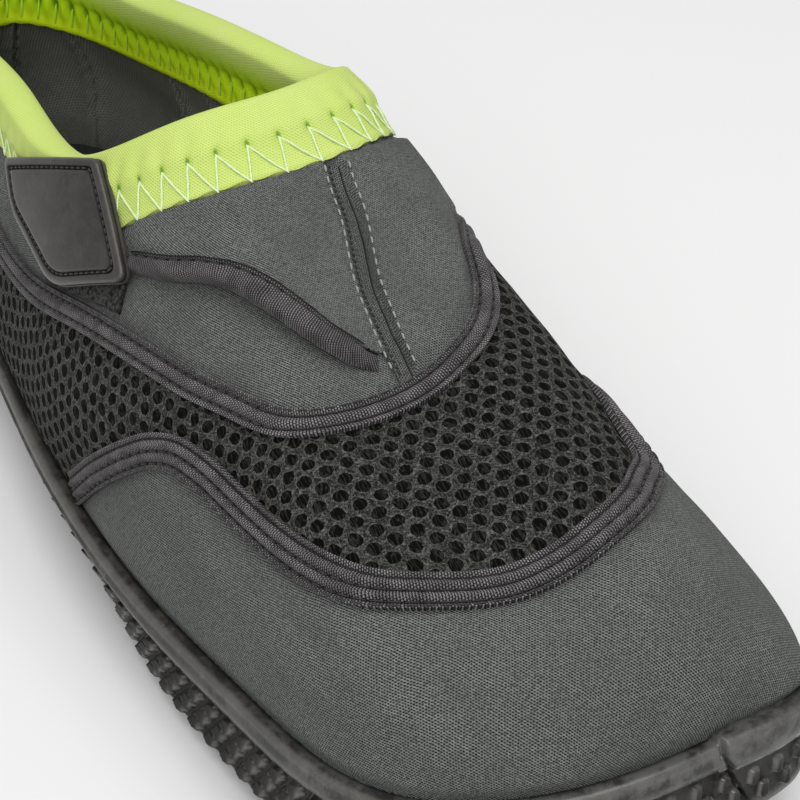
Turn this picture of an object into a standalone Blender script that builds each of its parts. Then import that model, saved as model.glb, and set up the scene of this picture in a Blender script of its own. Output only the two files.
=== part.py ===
"""Right water shoe: a rubber cup sole, a hollow cloth upper drawn from the last, its tapes, flap and strap tab.

Toe towards -Y, heel towards +Y, outer (lateral) side towards -X, floor at Z = 0. Sizes in metres.
"""
import bmesh
import bpy
import numpy as np

# Driving sizes of the last
LENGTH = 0.267
BALL_WIDTH = 0.094
INSTEP_RISE = 0.070
COLLAR_RISE = 0.060
# Share of the ball width from the heel's middle line to the middle of the sole's outline
MIDDLE = 0.0173

# Rubber sole: heights over the floor, and depths measured from them
LIP_HEIGHT = 0.0183
LIP_TOE_RISE = 0.0136
LIP_RISE_START = 0.604
TOE_SPRING = 0.0110
TOE_SPRING_START = 0.729
ARCH_RISE = 0.0030
ARCH_SPAN = (0.282, 0.531)
WAIST_SPAN = (0.167, 0.396, 0.479, 0.729)
WAIST_UNDERCUT = 0.0065
CUP_NARROWING = 0.0050
LUG_DEPTH = 0.0018
SOLE_THICKNESS = 0.0050
HEEL_THICKNESS = 0.0070
HEEL_END = 0.427
RUBBER_WALL = 0.0032
LIP_BAND = 0.0054
WAIST_BAND = 0.0032
LIP_ROUND = 0.0012
RIDGE_DEPTH = 0.0009
KNOB_PITCH = 0.0054
KNOB_ROWS = 3
KNOB_HEIGHT = 0.0012
KNOB_INSET = 0.0013
FOOT_BEVEL = 0.0014
TOE_BEVEL = 0.0025
LUG_INSET = 0.0060
LUG_ROOT = 0.0010
LUG_BARS = (0.045, 0.105, 0.164, 0.224, 0.284, 0.358, 0.428, 0.497, 0.572, 0.631, 0.691, 0.751, 0.810, 0.870)
LUG_LENGTH = 0.036

# Cloth and trim
GAP = 0.0003
WALL = 0.0025
INSOLE_THICKNESS = 0.0030
INSOLE_CLEARANCE = 0.0006
INSOLE_ROUND = 0.0010
HEM_CLEARANCE = 0.0006
TOE_TAPE = (0.0064, 0.0014)
THROAT_TAPE = (0.0050, 0.0014)
COLLAR_WIDTH = 0.0150
COLLAR_CLOTH = 0.0010
COLLAR_SLACK = 0.0002
FLAP_CLOTH = 0.0013
FLAP_LIFT = 0.0036
FLAP_TAPE = (0.0040, 0.0026)
SEAM_STRIP = (0.0030, 0.0009)
PATCH_SIZE = (0.0070, 0.0010)
TAB_THICKNESS = 0.0022
TAB_CLEARANCE = 0.0024
TAB_CORNER = 0.0030

# Facets
UPPER_COLUMNS = 72
UPPER_ROWS = (0.0, 0.06, 0.13, 0.21, 0.30, 0.39, 0.48, 0.57, 0.66, 0.75, 0.84, 0.93, 1.0)
WALK_STEP = 0.003
TAPE_STEP = 0.004
FLAP_STEP = 0.0055
FLAP_ROWS = 5
INSOLE_COLUMNS = 64
CORNER_STEPS = 4
GROUND_GRID = (64, 40)

# Stations round the feather line, from the heel by the outer side, the toe and the inner side.
# name, along (share of length), across (share of ball width), share of the collar loop that its meridian
# reaches, then the meridian's handles: out and up at the feather (shares of the instep's rise),
# reach (share of its run) and drop (share of the instep's rise) at the collar
STATIONS = (
    ("heel back", 0.0000, 0.000, 0.000, 0.06, 0.30, -0.30, 0.30),
    ("outer heel corner", 0.0340, -0.240, 0.050, 0.06, 0.30, -0.30, 0.30),
    ("outer heel", 0.1180, -0.355, 0.127, 0.06, 0.28, 0.05, 0.25),
    ("outer waist", 0.2961, -0.410, 0.280, 0.05, 0.25, 0.30, 0.22),
    ("outer middle", 0.4752, -0.486, 0.373, 0.04, 0.30, 0.45, 0.20),
    ("outer ball", 0.6418, -0.513, 0.429, 0.02, 0.36, 0.50, 0.22),
    ("little toe", 0.7866, -0.491, 0.462, 0.00, 0.38, 0.52, 0.36),
    ("outer toe corner", 0.9417, -0.393, 0.483, 0.00, 0.42, 0.55, 0.50),
    ("outer toe front", 0.9969, -0.106, 0.500, 0.00, 0.42, 0.57, 0.55),
    ("toe tip", 0.9995, 0.140, 0.513, 0.00, 0.52, 0.57, 0.55),
    ("inner toe corner", 0.9854, 0.368, 0.530, 0.00, 0.28, 0.55, 0.50),
    ("big toe", 0.8563, 0.443, 0.552, 0.00, 0.27, 0.52, 0.38),
    ("inner ball", 0.6960, 0.479, 0.579, 0.02, 0.17, 0.50, 0.24),
    ("inner middle", 0.5398, 0.396, 0.629, 0.06, 0.36, 0.45, 0.20),
    ("inner waist", 0.3763, 0.303, 0.704, 0.10, 0.30, 0.30, 0.22),
    ("inner heel", 0.1450, 0.347, 0.871, 0.06, 0.28, 0.05, 0.25),
    ("inner heel corner", 0.0390, 0.252, 0.952, 0.06, 0.30, -0.30, 0.30),
)

# Collar loop, from the heel by the outer side: along, across, and height over the lip (shares of the collar's rise)
COLLAR = (
    (0.042, 0.000, 0.745),
    (0.066, -0.150, 0.720),
    (0.150, -0.245, 0.735),
    (0.294, -0.287, 0.825),
    (0.429, -0.281, 0.875),
    (0.497, -0.148, 1.105),
    (0.513, 0.011, 1.165),
    (0.497, 0.159, 1.145),
    (0.434, 0.255, 0.985),
    (0.356, 0.245, 0.915),
    (0.243, 0.226, 0.820),
    (0.142, 0.212, 0.720),
    (0.066, 0.138, 0.715),
)

# Routes on the upper: (u round the feather line, v from feather to collar) along the middle of each band
TOE_ROUTE = (
    (0.2569, 0.034), (0.2797, 0.212), (0.2960, 0.304), (0.3124, 0.371), (0.3267, 0.404), (0.3412, 0.412),
    (0.3631, 0.405), (0.3924, 0.398), (0.4215, 0.398), (0.4486, 0.411), (0.4778, 0.412), (0.5007, 0.418),
    (0.5156, 0.435), (0.5275, 0.460), (0.5392, 0.488), (0.5597, 0.507), (0.5746, 0.524), (0.6001, 0.502),
    (0.6282, 0.443), (0.6600, 0.339), (0.6863, 0.217), (0.7049, 0.034),
)
THROAT_ROUTE = (
    (0.0000, 0.500), (0.0549, 0.500), (0.1067, 0.484), (0.1574, 0.469), (0.2032, 0.490), (0.2475, 0.543),
    (0.2817, 0.552), (0.3125, 0.553), (0.3394, 0.561), (0.3646, 0.583), (0.3900, 0.603), (0.4196, 0.635),
    (0.4450, 0.661), (0.4650, 0.678), (0.4829, 0.689), (0.5021, 0.700), (0.5238, 0.721), (0.5419, 0.744),
    (0.5681, 0.760), (0.5960, 0.755), (0.6250, 0.727), (0.6597, 0.690), (0.7146, 0.616), (0.7711, 0.549),
    (0.8313, 0.501), (0.8892, 0.494), (0.9436, 0.495),
)
SEAM_ROUTE = (
    (0.5190, 0.929), (0.5122, 0.911), (0.5047, 0.879), (0.4981, 0.857), (0.4914, 0.834), (0.4865, 0.812),
    (0.4832, 0.779), (0.4811, 0.752), (0.4799, 0.725),
)
FLAP_ROUTE = (
    (0.3008, 0.707), (0.3219, 0.718), (0.3550, 0.748), (0.3792, 0.764), (0.4000, 0.764), (0.4217, 0.751),
    (0.4408, 0.733), (0.4556, 0.721), (0.4669, 0.718),
)
# Stretch of the collar that the flap hangs from
FLAP_TOP = (0.294, 0.504)
PATCH_ROUTE = ((0.2265, 0.635), (0.2603, 0.652), (0.2914, 0.654))

# Strap tab: corners in its own plane, along its join with the flap and away from it, from the collar corner
TAB_PLACE = (0.238, 0.779)
TAB_JOIN = ((0.2599, 1.000), (0.2942, 0.694))
TAB_OUTLINE = ((-0.0024, -0.0025), (-0.0312, -0.0029), (-0.0173, 0.0184), (0.0075, 0.0272), (0.0185, 0.0246))
TAB_RINGS = (1.0, 0.72, 0.36)
# Stretch of the upper that lies under the tab, round the feather line and up
TAB_GROUND = ((0.12, 0.35), (0.40, 1.0))

RUBBER = ("rubber_charcoal", (0.030, 0.029, 0.027), 0.55)
CLOTH = ("neoprene_grey", (0.110, 0.113, 0.110), 0.85)
LIME = ("lycra_lime", (0.480, 0.640, 0.130), 0.75)
TAPE = ("woven_tape_black", (0.050, 0.048, 0.050), 0.80)
LOOP_PILE = ("loop_pile_black", (0.018, 0.018, 0.018), 0.95)
FOAM = ("insole_foam_dark", (0.040, 0.040, 0.042), 0.90)


def clear_scene():
    for thing in list(bpy.data.objects):
        bpy.data.objects.remove(thing, do_unlink=True)


def finish(name, verts, faces, look):
    """A named object from points and faces, with its own material and every face pointing out."""
    title, colour, roughness = look
    mesh = bpy.data.meshes.new(name)
    mesh.from_pydata([tuple(map(float, point)) for point in verts], [], [tuple(map(int, face)) for face in faces])
    piece = bpy.data.objects.new(name, mesh)
    bpy.context.scene.collection.objects.link(piece)
    bm = bmesh.new()
    bm.from_mesh(mesh)
    bmesh.ops.recalc_face_normals(bm, faces=bm.faces)
    bm.to_mesh(mesh)
    bm.free()
    mesh.shade_smooth()
    mesh.set_sharp_from_angle(angle=np.radians(35.0))
    material = bpy.data.materials.new(title)
    material.use_nodes = True
    shader = material.node_tree.nodes["Principled BSDF"]
    shader.inputs["Base Color"].default_value = (*colour, 1.0)
    shader.inputs["Roughness"].default_value = roughness
    shader.inputs["Metallic"].default_value = 0.0
    mesh.materials.append(material)
    return piece


class Loop:
    """A closed smooth curve (natural cubic) through values at rising knots in 0..1."""

    def __init__(self, knots, values):
        self.knots = np.asarray(knots, float)
        self.values = np.asarray(values, float).reshape(len(self.knots), -1)
        self.steps = np.diff(np.append(self.knots, 1.0 + self.knots[0]))
        count = len(self.knots)
        left = np.zeros((count, count))
        right = np.zeros_like(self.values)
        for i in range(count):
            before, after = (i - 1) % count, (i + 1) % count
            left[i, before] += self.steps[before]
            left[i, i] += 2.0 * (self.steps[before] + self.steps[i])
            left[i, after] += self.steps[i]
            rise = (self.values[after] - self.values[i]) / self.steps[i]
            fall = (self.values[i] - self.values[before]) / self.steps[before]
            right[i] = 6.0 * (rise - fall)
        self.bends = np.linalg.solve(left, right)

    def at(self, u):
        first = self.knots[0]
        u = np.mod(np.atleast_1d(np.asarray(u, float)) - first, 1.0) + first
        i = np.clip(np.searchsorted(self.knots, u, side="right") - 1, 0, len(self.knots) - 1)
        j = (i + 1) % len(self.knots)
        step = self.steps[i][:, None]
        done = (u - self.knots[i])[:, None]
        left = step - done
        cubic = (self.bends[i] * left**3 + self.bends[j] * done**3) / (6.0 * step)
        start = (self.values[i] / step - self.bends[i] * step / 6.0) * left
        return cubic + start + (self.values[j] / step - self.bends[j] * step / 6.0) * done


def chord_knots(points):
    chords = np.linalg.norm(np.roll(points, -1, 0) - points, axis=1)
    return np.append(0.0, np.cumsum(chords)[:-1]) / chords.sum()


def share_along(y):
    return 0.5 - y / LENGTH


def ease(value, start, end):
    """0 before start, 1 after end, smooth between."""
    t = np.clip((value - start) / (end - start), 0.0, 1.0)
    return t * t * (3.0 - 2.0 * t)


def floor_rise(share):
    """How far the tread lies over the floor: the toe spring and the arch."""
    toe = np.clip((share - TOE_SPRING_START) / (1.0 - TOE_SPRING_START), 0.0, 1.0)
    middle = 0.5 * sum(ARCH_SPAN)
    arch = ease(share, ARCH_SPAN[0], middle) * (1.0 - ease(share, middle, ARCH_SPAN[1]))
    return TOE_SPRING * toe**2 + ARCH_RISE * arch


def lip_top(share):
    toe = np.clip((share - LIP_RISE_START) / (1.0 - LIP_RISE_START), 0.0, 1.0)
    return LIP_HEIGHT + LIP_TOE_RISE * toe**2


def bed_top(share):
    heel = 1.0 - ease(share, 0.5 * HEEL_END, HEEL_END)
    return floor_rise(share) + LUG_DEPTH + SOLE_THICKNESS + (HEEL_THICKNESS - SOLE_THICKNESS) * heel


def waist(share):
    """1 where the foot is narrowest, 0 under heel and ball."""
    heel, start, end, ball = WAIST_SPAN
    return ease(share, heel, start) * (1.0 - ease(share, end, ball))


def cup(share, clearance=0.0):
    """Depth of the cup's inner face behind the outline, where it meets the bed."""
    return RUBBER_WALL + CUP_NARROWING * waist(share) + clearance


class Last:
    """The upper's outer surface: meridians from the feather line (v = 0) to the collar (v = 1)."""

    def __init__(self):
        ring = np.array([((row[2] + MIDDLE) * BALL_WIDTH, (0.5 - row[1]) * LENGTH) for row in STATIONS])
        knots = chord_knots(ring)
        reached = np.array([row[3] for row in STATIONS])
        self.outline = Loop(knots, ring)
        self.lead = Loop(knots, reached - knots)
        self.handles = Loop(knots, np.array([row[4:] for row in STATIONS]))
        edge = np.array([
            ((across + MIDDLE) * BALL_WIDTH, (0.5 - along) * LENGTH, LIP_HEIGHT + height * COLLAR_RISE)
            for along, across, height in COLLAR
        ])
        self.collar = Loop(chord_knots(edge[:, :2]), edge)

    def outward(self, u):
        """Level direction out of the outline."""
        step = 1.0 / 4000.0
        run = self.outline.at(u + step) - self.outline.at(u - step)
        out = np.column_stack([run[:, 1], -run[:, 0]])
        out /= np.linalg.norm(out, axis=1)[:, None]
        return out

    def inset(self, u, depth, height):
        """Points inside the outline: depth a number or a function, height a function, of the share along."""
        u = np.atleast_1d(np.asarray(u, float))
        ring = self.outline.at(u)
        if callable(depth):
            depth = depth(share_along(ring[:, 1]))[:, None]
        moved = ring - depth * self.outward(u)
        return np.column_stack([moved, height(share_along(ring[:, 1]))])

    def point(self, u, v):
        u = np.atleast_1d(np.asarray(u, float))
        v = np.broadcast_to(np.atleast_1d(np.asarray(v, float)), u.shape)[:, None]
        feather = self.inset(u, RUBBER_WALL + GAP, lip_top)
        top = self.collar.at(u + self.lead.at(u)[:, 0])
        out, up, reach, drop = self.handles.at(u).T
        run = feather[:, :2] - top[:, :2]
        low = feather + np.column_stack([self.outward(u) * (out * INSTEP_RISE)[:, None], up * INSTEP_RISE])
        high = top + np.column_stack([run * reach[:, None], -drop * INSTEP_RISE])
        w = 1.0 - v
        return w**3 * feather + 3.0 * v * w**2 * low + 3.0 * v**2 * w * high + v**3 * top

    def slopes(self, u, v, step=0.002):
        around = (self.point(u + step, v) - self.point(u - step, v)) / (2.0 * step)
        low, high = np.clip(v - step, 0.0, 1.0), np.clip(v + step, 0.0, 1.0)
        rising = (self.point(u, high) - self.point(u, low)) / (high - low)[:, None]
        return around, rising

    def normal(self, u, v):
        around, rising = self.slopes(u, v)
        out = np.cross(around, rising)
        return out / np.linalg.norm(out, axis=1)[:, None]

    def walk(self, u, v, direction, distance):
        """(u, v) reached by going distance along the surface, in a direction that is kept across the route."""
        steps = max(1, int(np.ceil(abs(distance) / WALK_STEP)))
        for _ in range(steps):
            around, rising = self.slopes(u, v)
            a, b, c = (around**2).sum(1), (around * rising).sum(1), (rising**2).sum(1)
            p, q = (around * direction).sum(1), (rising * direction).sum(1)
            area = a * c - b * b
            u = u + (distance / steps) * (c * p - b * q) / area
            v = np.clip(v + (distance / steps) * (a * q - b * p) / area, 0.0, 1.0)
        return u, v


class Skin:
    """The upper's outer face as it is faceted, so that what lies on it keeps its gap."""

    def __init__(self, last):
        self.last = last
        self.rows = np.array(UPPER_ROWS)
        u = np.arange(UPPER_COLUMNS) / UPPER_COLUMNS
        self.points = np.stack([last.point(u, np.full_like(u, v)) for v in self.rows])
        self.normals = np.stack([last.normal(u, np.full_like(u, v)) for v in self.rows])

    def at(self, u, v, height=0.0):
        column = np.mod(u, 1.0) * UPPER_COLUMNS
        i = np.floor(column).astype(int) % UPPER_COLUMNS
        j = (i + 1) % UPPER_COLUMNS
        s = (column - np.floor(column))[:, None]
        row = np.clip(np.searchsorted(self.rows, v, side="right") - 1, 0, len(self.rows) - 2)
        t = ((v - self.rows[row]) / (self.rows[row + 1] - self.rows[row]))[:, None]
        place, out = ((1 - t) * ((1 - s) * grid[row, i] + s * grid[row, j])
                      + t * ((1 - s) * grid[row + 1, i] + s * grid[row + 1, j])
                      for grid in (self.points, self.normals))
        out /= np.linalg.norm(out, axis=1)[:, None]
        return place + out * np.reshape(height, (-1, 1))

    def route(self, rows, spacing):
        """(u, v) points evenly along the smooth line through rows, and the direction to its collar side."""
        rows = np.array(rows, float)
        t = chord_knots(np.column_stack([rows[:, 0] * 4.0, rows[:, 1]]))
        t = t / t[-1]
        fine = np.linspace(0.0, 1.0, 401)
        u, v = (smooth_line(t, rows[:, k], fine) for k in range(2))
        place = self.at(u, v)
        reach = np.append(0.0, np.cumsum(np.linalg.norm(np.diff(place, axis=0), axis=1)))
        want = np.linspace(0.0, reach[-1], max(3, int(round(reach[-1] / spacing))) + 1)
        u, v = np.interp(want, reach, u), np.interp(want, reach, v)
        return u, v, self.collar_side(u, v, np.gradient(self.last.point(u, v), axis=0))

    def round_route(self, level):
        """The same for a line right round the shoe, one point on each column of facets; level gives v from u."""
        u = np.arange(UPPER_COLUMNS) / UPPER_COLUMNS
        v = level(u)
        place = self.last.point(u, v)
        return u, v, self.collar_side(u, v, np.roll(place, -1, 0) - np.roll(place, 1, 0))

    def collar_side(self, u, v, run):
        side = np.cross(self.last.normal(u, v), run)
        return side / np.linalg.norm(side, axis=1)[:, None]

    def band(self, line, section, lift=0.0):
        """Rings of a section (side, height) carried along a route; the side is walked along the skin."""
        u, v, side = line
        rings = [self.at(*self.last.walk(u, v, side, across), height + lift) for across, height in section]
        return tube(np.stack(rings, 1), False)

    def round_band(self, line, section):
        """The same right round the shoe, with every point kept on its own column of facets."""
        u, v, side = line
        rings = []
        for across, height, over in section:
            moved_u, moved_v = self.last.walk(u, v, side, across)
            rings.append(self.at(u, np.interp(u, moved_u, moved_v, period=1.0), height) + over * side)
        return tube(np.stack(rings, 1), True)


def smooth_line(knots, values, at):
    """Cubic through the values whose slopes follow their neighbours."""
    slope = np.gradient(values, knots)
    i = np.clip(np.searchsorted(knots, at, side="right") - 1, 0, len(knots) - 2)
    step = knots[i + 1] - knots[i]
    t = (at - knots[i]) / step
    return ((2 * t**3 - 3 * t**2 + 1) * values[i] + (t**3 - 2 * t**2 + t) * step * slope[i]
            + (3 * t**2 - 2 * t**3) * values[i + 1] + (t**3 - t**2) * step * slope[i + 1])


def tube(rings, closed):
    """Points and faces of rings joined one to the next, with end faces unless it closes on itself."""
    count, size = rings.shape[:2]
    faces = []
    for i in range(count if closed else count - 1):
        j = (i + 1) % count
        for k in range(size):
            m = (k + 1) % size
            faces.append((i * size + k, i * size + m, j * size + m, j * size + k))
    if not closed:
        faces.append(range(size))
        faces.append(range((count - 1) * size, count * size))
    return rings.reshape(-1, 3), faces


def slab(outer, inner):
    """Points and faces of a sheet between two grids of the same shape, closed round its edge."""
    rows, columns = outer.shape[:2]
    size = rows * columns
    index = np.arange(size).reshape(rows, columns)
    faces = []
    for i in range(rows - 1):
        for j in range(columns - 1):
            quad = (index[i, j], index[i, j + 1], index[i + 1, j + 1], index[i + 1, j])
            faces.append(quad)
            faces.append([k + size for k in reversed(quad)])
    edge = [*index[0], *index[1:, -1], *index[-1, -2::-1], *index[-2:0:-1, 0]]
    for a, b in zip(edge, edge[1:] + edge[:1]):
        faces.append((b, a, a + size, b + size))
    return np.vstack([outer.reshape(-1, 3), inner.reshape(-1, 3)]), faces


def tape_section(width, thickness):
    half = 0.5 * width
    return (
        (-half, GAP), (-half, GAP + 0.6 * thickness), (0.0, GAP + thickness),
        (half, GAP + 0.6 * thickness), (half, GAP), (0.0, GAP),
    )


class Shell:
    """Points and faces of a solid grown ring by ring."""

    def __init__(self):
        self.points = []
        self.faces = []

    def ring(self, points):
        start = len(self.points)
        self.points.extend(points)
        return list(range(start, start + len(points)))

    def join(self, first, second):
        """Quads between rings of one size, or three triangles a step where one ring is twice as fine."""
        if len(first) == len(second):
            for i in range(len(first)):
                j = (i + 1) % len(first)
                self.faces.append((first[i], first[j], second[j], second[i]))
            return
        coarse, fine = sorted((first, second), key=len)
        for i in range(len(coarse)):
            j = (i + 1) % len(coarse)
            a, b, c = fine[2 * i], fine[2 * i + 1], fine[(2 * i + 2) % len(fine)]
            triangles = ((coarse[i], a, b), (coarse[i], b, coarse[j]), (coarse[j], b, c))
            self.faces.extend(triangles if coarse is first else [t[::-1] for t in triangles])

    def cap(self, ring):
        """Closes a ring that runs from heel to toe and back with a ladder of faces across it."""
        half = len(ring) // 2
        self.faces.append((ring[0], ring[1], ring[-1]))
        for i in range(1, half - 1):
            self.faces.append((ring[i], ring[i + 1], ring[-i - 1], ring[-i]))
        if len(ring) % 2:
            self.faces.append((ring[half - 1], ring[half], ring[half + 1], ring[half + 2]))
        else:
            self.faces.append((ring[half - 1], ring[half], ring[half + 1]))


def even_outline(last, count):
    """u of points evenly spaced by length round the outline."""
    u = np.linspace(0.0, 1.0, 2001)
    reach = np.append(0.0, np.cumsum(np.linalg.norm(np.diff(last.outline.at(u), axis=0), axis=1)))
    return np.interp(np.linspace(0.0, reach[-1], count + 1)[:-1], reach, u), reach[-1]


def outsole(last):
    """Cup sole: bed, wall with a rounded lip, staggered knobs under a ridge, and a tread of cross bars."""
    _, girth = even_outline(last, 4)
    pitches = 2 * int(round(0.5 * girth / KNOB_PITCH))
    coarse, _ = even_outline(last, pitches)
    fine, _ = even_outline(last, 2 * pitches)
    shell = Shell()

    def ring(u, depth, height):
        return shell.ring(last.inset(u, depth, height))

    def under_lip(drop):
        return lambda share: lip_top(share) - drop

    def band_foot(share):
        return lip_top(share) - LIP_BAND - (WAIST_BAND - LIP_BAND) * waist(share)

    def tread(share):
        return floor_rise(share) + LUG_DEPTH

    def foot(share):
        return tread(share) + FOOT_BEVEL + TOE_BEVEL * ease(share, TOE_SPRING_START, 1.0)

    bed = ring(coarse, cup, bed_top)
    rings = [
        bed,
        ring(coarse, RUBBER_WALL, under_lip(0.5 * LIP_ROUND)),
        ring(coarse, RUBBER_WALL - LIP_ROUND, under_lip(0.0)),
        ring(coarse, 0.5 * LIP_ROUND, under_lip(0.6 * LIP_ROUND)),
        ring(coarse, 0.0, under_lip(2.2 * LIP_ROUND)),
        ring(coarse, 0.0, lambda share: band_foot(share) + RIDGE_DEPTH),
        ring(coarse, RIDGE_DEPTH, band_foot),
    ]
    # Knob rows: low along the joints between rows, high at every other point along the middle of a row
    for step in range(2 * KNOB_ROWS + 1):
        part = step / (2.0 * KNOB_ROWS)
        points = last.inset(
            fine,
            lambda share: KNOB_INSET + WAIST_UNDERCUT * waist(share) * part,
            lambda share: (1.0 - part) * (band_foot(share) - RIDGE_DEPTH) + part * foot(share),
        )
        if step % 2:
            high = (np.arange(len(fine)) + step // 2) % 2 == 0
            out = np.column_stack([last.outward(fine), np.zeros(len(fine))])
            points += KNOB_HEIGHT * high[:, None] * out
        rings.append(shell.ring(points))
    sole = ring(coarse, lambda share: KNOB_INSET + FOOT_BEVEL + WAIST_UNDERCUT * waist(share), tread)
    rings.append(sole)
    for first, second in zip(rings, rings[1:]):
        shell.join(first, second)
    shell.cap(bed)
    shell.cap(sole)
    piece = finish("outsole", shell.points, shell.faces, RUBBER)
    bars = finish("tread_bars", *tread_bars(last), RUBBER)
    bars.hide_render = True
    bars.display_type = "WIRE"
    union = piece.modifiers.new("tread", "BOOLEAN")
    union.operation = "UNION"
    union.solver = "EXACT"
    union.object = bars
    return piece


def tread_bars(last):
    """Cross bars of the tread, each cut to the inset outline; those under heel and ball end on the floor."""
    u = np.linspace(0.0, 1.0, 1201)[:-1]
    edge = last.inset(u, lambda share: LUG_INSET + WAIST_UNDERCUT * waist(share), floor_rise)
    sides = [edge[edge[:, 0] < 0.0], edge[edge[:, 0] >= 0.0]]
    sides = [side[np.argsort(side[:, 1])] for side in sides]
    points, faces = [], []
    for start in LUG_BARS:
        shares = (start, start + LUG_LENGTH)
        base = len(points)
        for share in shares:
            y = (0.5 - share) * LENGTH
            left, right = (float(np.interp(y, side[:, 1], side[:, 0])) for side in sides)
            low = float(floor_rise(share))
            high = low + LUG_DEPTH + LUG_ROOT
            points += [(left, y, low), (right, y, low), (right, y, high), (left, y, high)]
        faces += [[base + k for k in face] for face in (
            (0, 1, 2, 3), (7, 6, 5, 4), (0, 4, 5, 1), (1, 5, 6, 2), (2, 6, 7, 3), (3, 7, 4, 0))]
    return points, faces


def insole(last):
    """Foam pad on the bed, just clear of the upper's inner face."""
    u, _ = even_outline(last, INSOLE_COLUMNS)
    shell = Shell()
    rings = []
    for inset, part in ((0.0, 0.0), (0.0, 0.7), (INSOLE_ROUND, 1.0)):
        clearance = GAP + WALL + INSOLE_CLEARANCE + inset
        rings.append(shell.ring(last.inset(
            u,
            lambda share: cup(share, clearance),
            lambda share: bed_top(share) + GAP + part * INSOLE_THICKNESS,
        )))
    shell.join(rings[0], rings[1])
    shell.join(rings[1], rings[2])
    shell.cap(rings[0])
    shell.cap(rings[2])
    return finish("insole", shell.points, shell.faces, FOAM)


def upper(last, skin):
    """One hollow wall: tucked into the cup sole, open underneath and at the collar."""
    u = np.arange(UPPER_COLUMNS) / UPPER_COLUMNS
    hems = [
        last.inset(u, lambda share: cup(share, GAP + depth), lambda share: bed_top(share) + HEM_CLEARANCE)
        for depth in (0.0, WALL)
    ]
    inner = skin.points - WALL * skin.normals
    shell = Shell()
    rings = [shell.ring(row) for row in (hems[0], *skin.points, *inner[::-1], hems[1])]
    for first, second in zip(rings, rings[1:] + rings[:1]):
        shell.join(first, second)
    return finish("upper", shell.points, shell.faces, CLOTH)


def collar_binding(skin):
    """Lycra band folded over the collar edge, outer leg wide, inner leg the same."""
    u, v, side = skin.round_route(np.ones_like)
    outer, inner = GAP + COLLAR_CLOTH, -(WALL + GAP + COLLAR_SLACK)
    fold = GAP + COLLAR_SLACK
    half = 0.5 * COLLAR_WIDTH
    section = (
        (-COLLAR_WIDTH, GAP, 0.0), (-COLLAR_WIDTH, outer, 0.0), (-half, outer, 0.0),
        (0.0, outer, fold + COLLAR_CLOTH), (0.0, inner - COLLAR_CLOTH, fold + COLLAR_CLOTH),
        (-half, inner - COLLAR_CLOTH, 0.0), (-COLLAR_WIDTH, inner - COLLAR_CLOTH, 0.0),
        (-COLLAR_WIDTH, inner, 0.0), (-half, inner, 0.0), (0.0, inner, fold), (0.0, GAP, fold), (-half, GAP, 0.0),
    )
    return finish("collar_binding", *skin.round_band((u, v, side), section), LIME)


def instep_flap(skin):
    """Loose flap from the collar band to its taped lower edge, standing open over the gusset."""
    flap_line = skin.route(FLAP_ROUTE, FLAP_STEP)
    count = len(flap_line[0])
    t = np.linspace(0.0, 1.0, count)
    lift = flap_lift(t)
    low = np.stack(skin.last.walk(*flap_line, FLAP_TAPE[0] + GAP), 1)
    edge_u = np.linspace(*FLAP_TOP, count)
    edge = np.ones_like(edge_u)
    run = skin.last.slopes(edge_u, edge)[0]
    down = skin.collar_side(edge_u, edge, run)
    top = np.stack(skin.last.walk(edge_u, edge, down, -(COLLAR_WIDTH + 2.0 * GAP)), 1)
    seam = skin.route(SEAM_ROUTE[::-1], FLAP_STEP)
    away = np.stack(skin.last.walk(*seam, 0.5 * SEAM_STRIP[0] + GAP), 1)
    rows = FLAP_ROWS
    r = np.linspace(0.0, 1.0, rows)
    order = np.argsort(away[:, 1])
    right_v = low[-1, 1] + (top[-1, 1] - low[-1, 1]) * r
    right_u = np.interp(right_v, away[order, 1], away[order, 0])
    grid = np.empty((rows, count, 2))
    for i in range(rows):
        straight = (1 - r[i]) * low + r[i] * top
        shift = np.array([right_u[i], right_v[i]]) - straight[-1]
        grid[i] = straight + t[:, None] * shift
    u, v = grid[..., 0].ravel(), grid[..., 1].ravel()
    rise = ((1.0 - r)[:, None] ** 1.5 * lift[None, :]).ravel()
    outer = skin.at(u, v, GAP + rise + FLAP_CLOTH).reshape(rows, count, 3)
    inner = skin.at(u, v, GAP + rise).reshape(rows, count, 3)
    return finish("instep_flap", *slab(outer, inner), CLOTH)


def flap_lift(t):
    """How far the flap's lower edge stands off the gusset, from the tab's end to the seam."""
    return FLAP_LIFT * np.sin(np.pi * np.clip(t, 0.0, 1.0) ** 1.2) ** 0.8


def flap_binding(skin):
    line = skin.route(FLAP_ROUTE, FLAP_STEP)
    width, thickness = FLAP_TAPE
    section = (
        (0.0, GAP), (0.0, 0.7 * thickness), (0.5 * width, GAP + thickness),
        (width, 0.7 * thickness), (width, GAP), (0.5 * width, GAP),
    )
    lift = flap_lift(np.linspace(0.0, 1.0, len(line[0])))
    return finish("flap_binding", *skin.band(line, section, lift=lift), TAPE)


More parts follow.
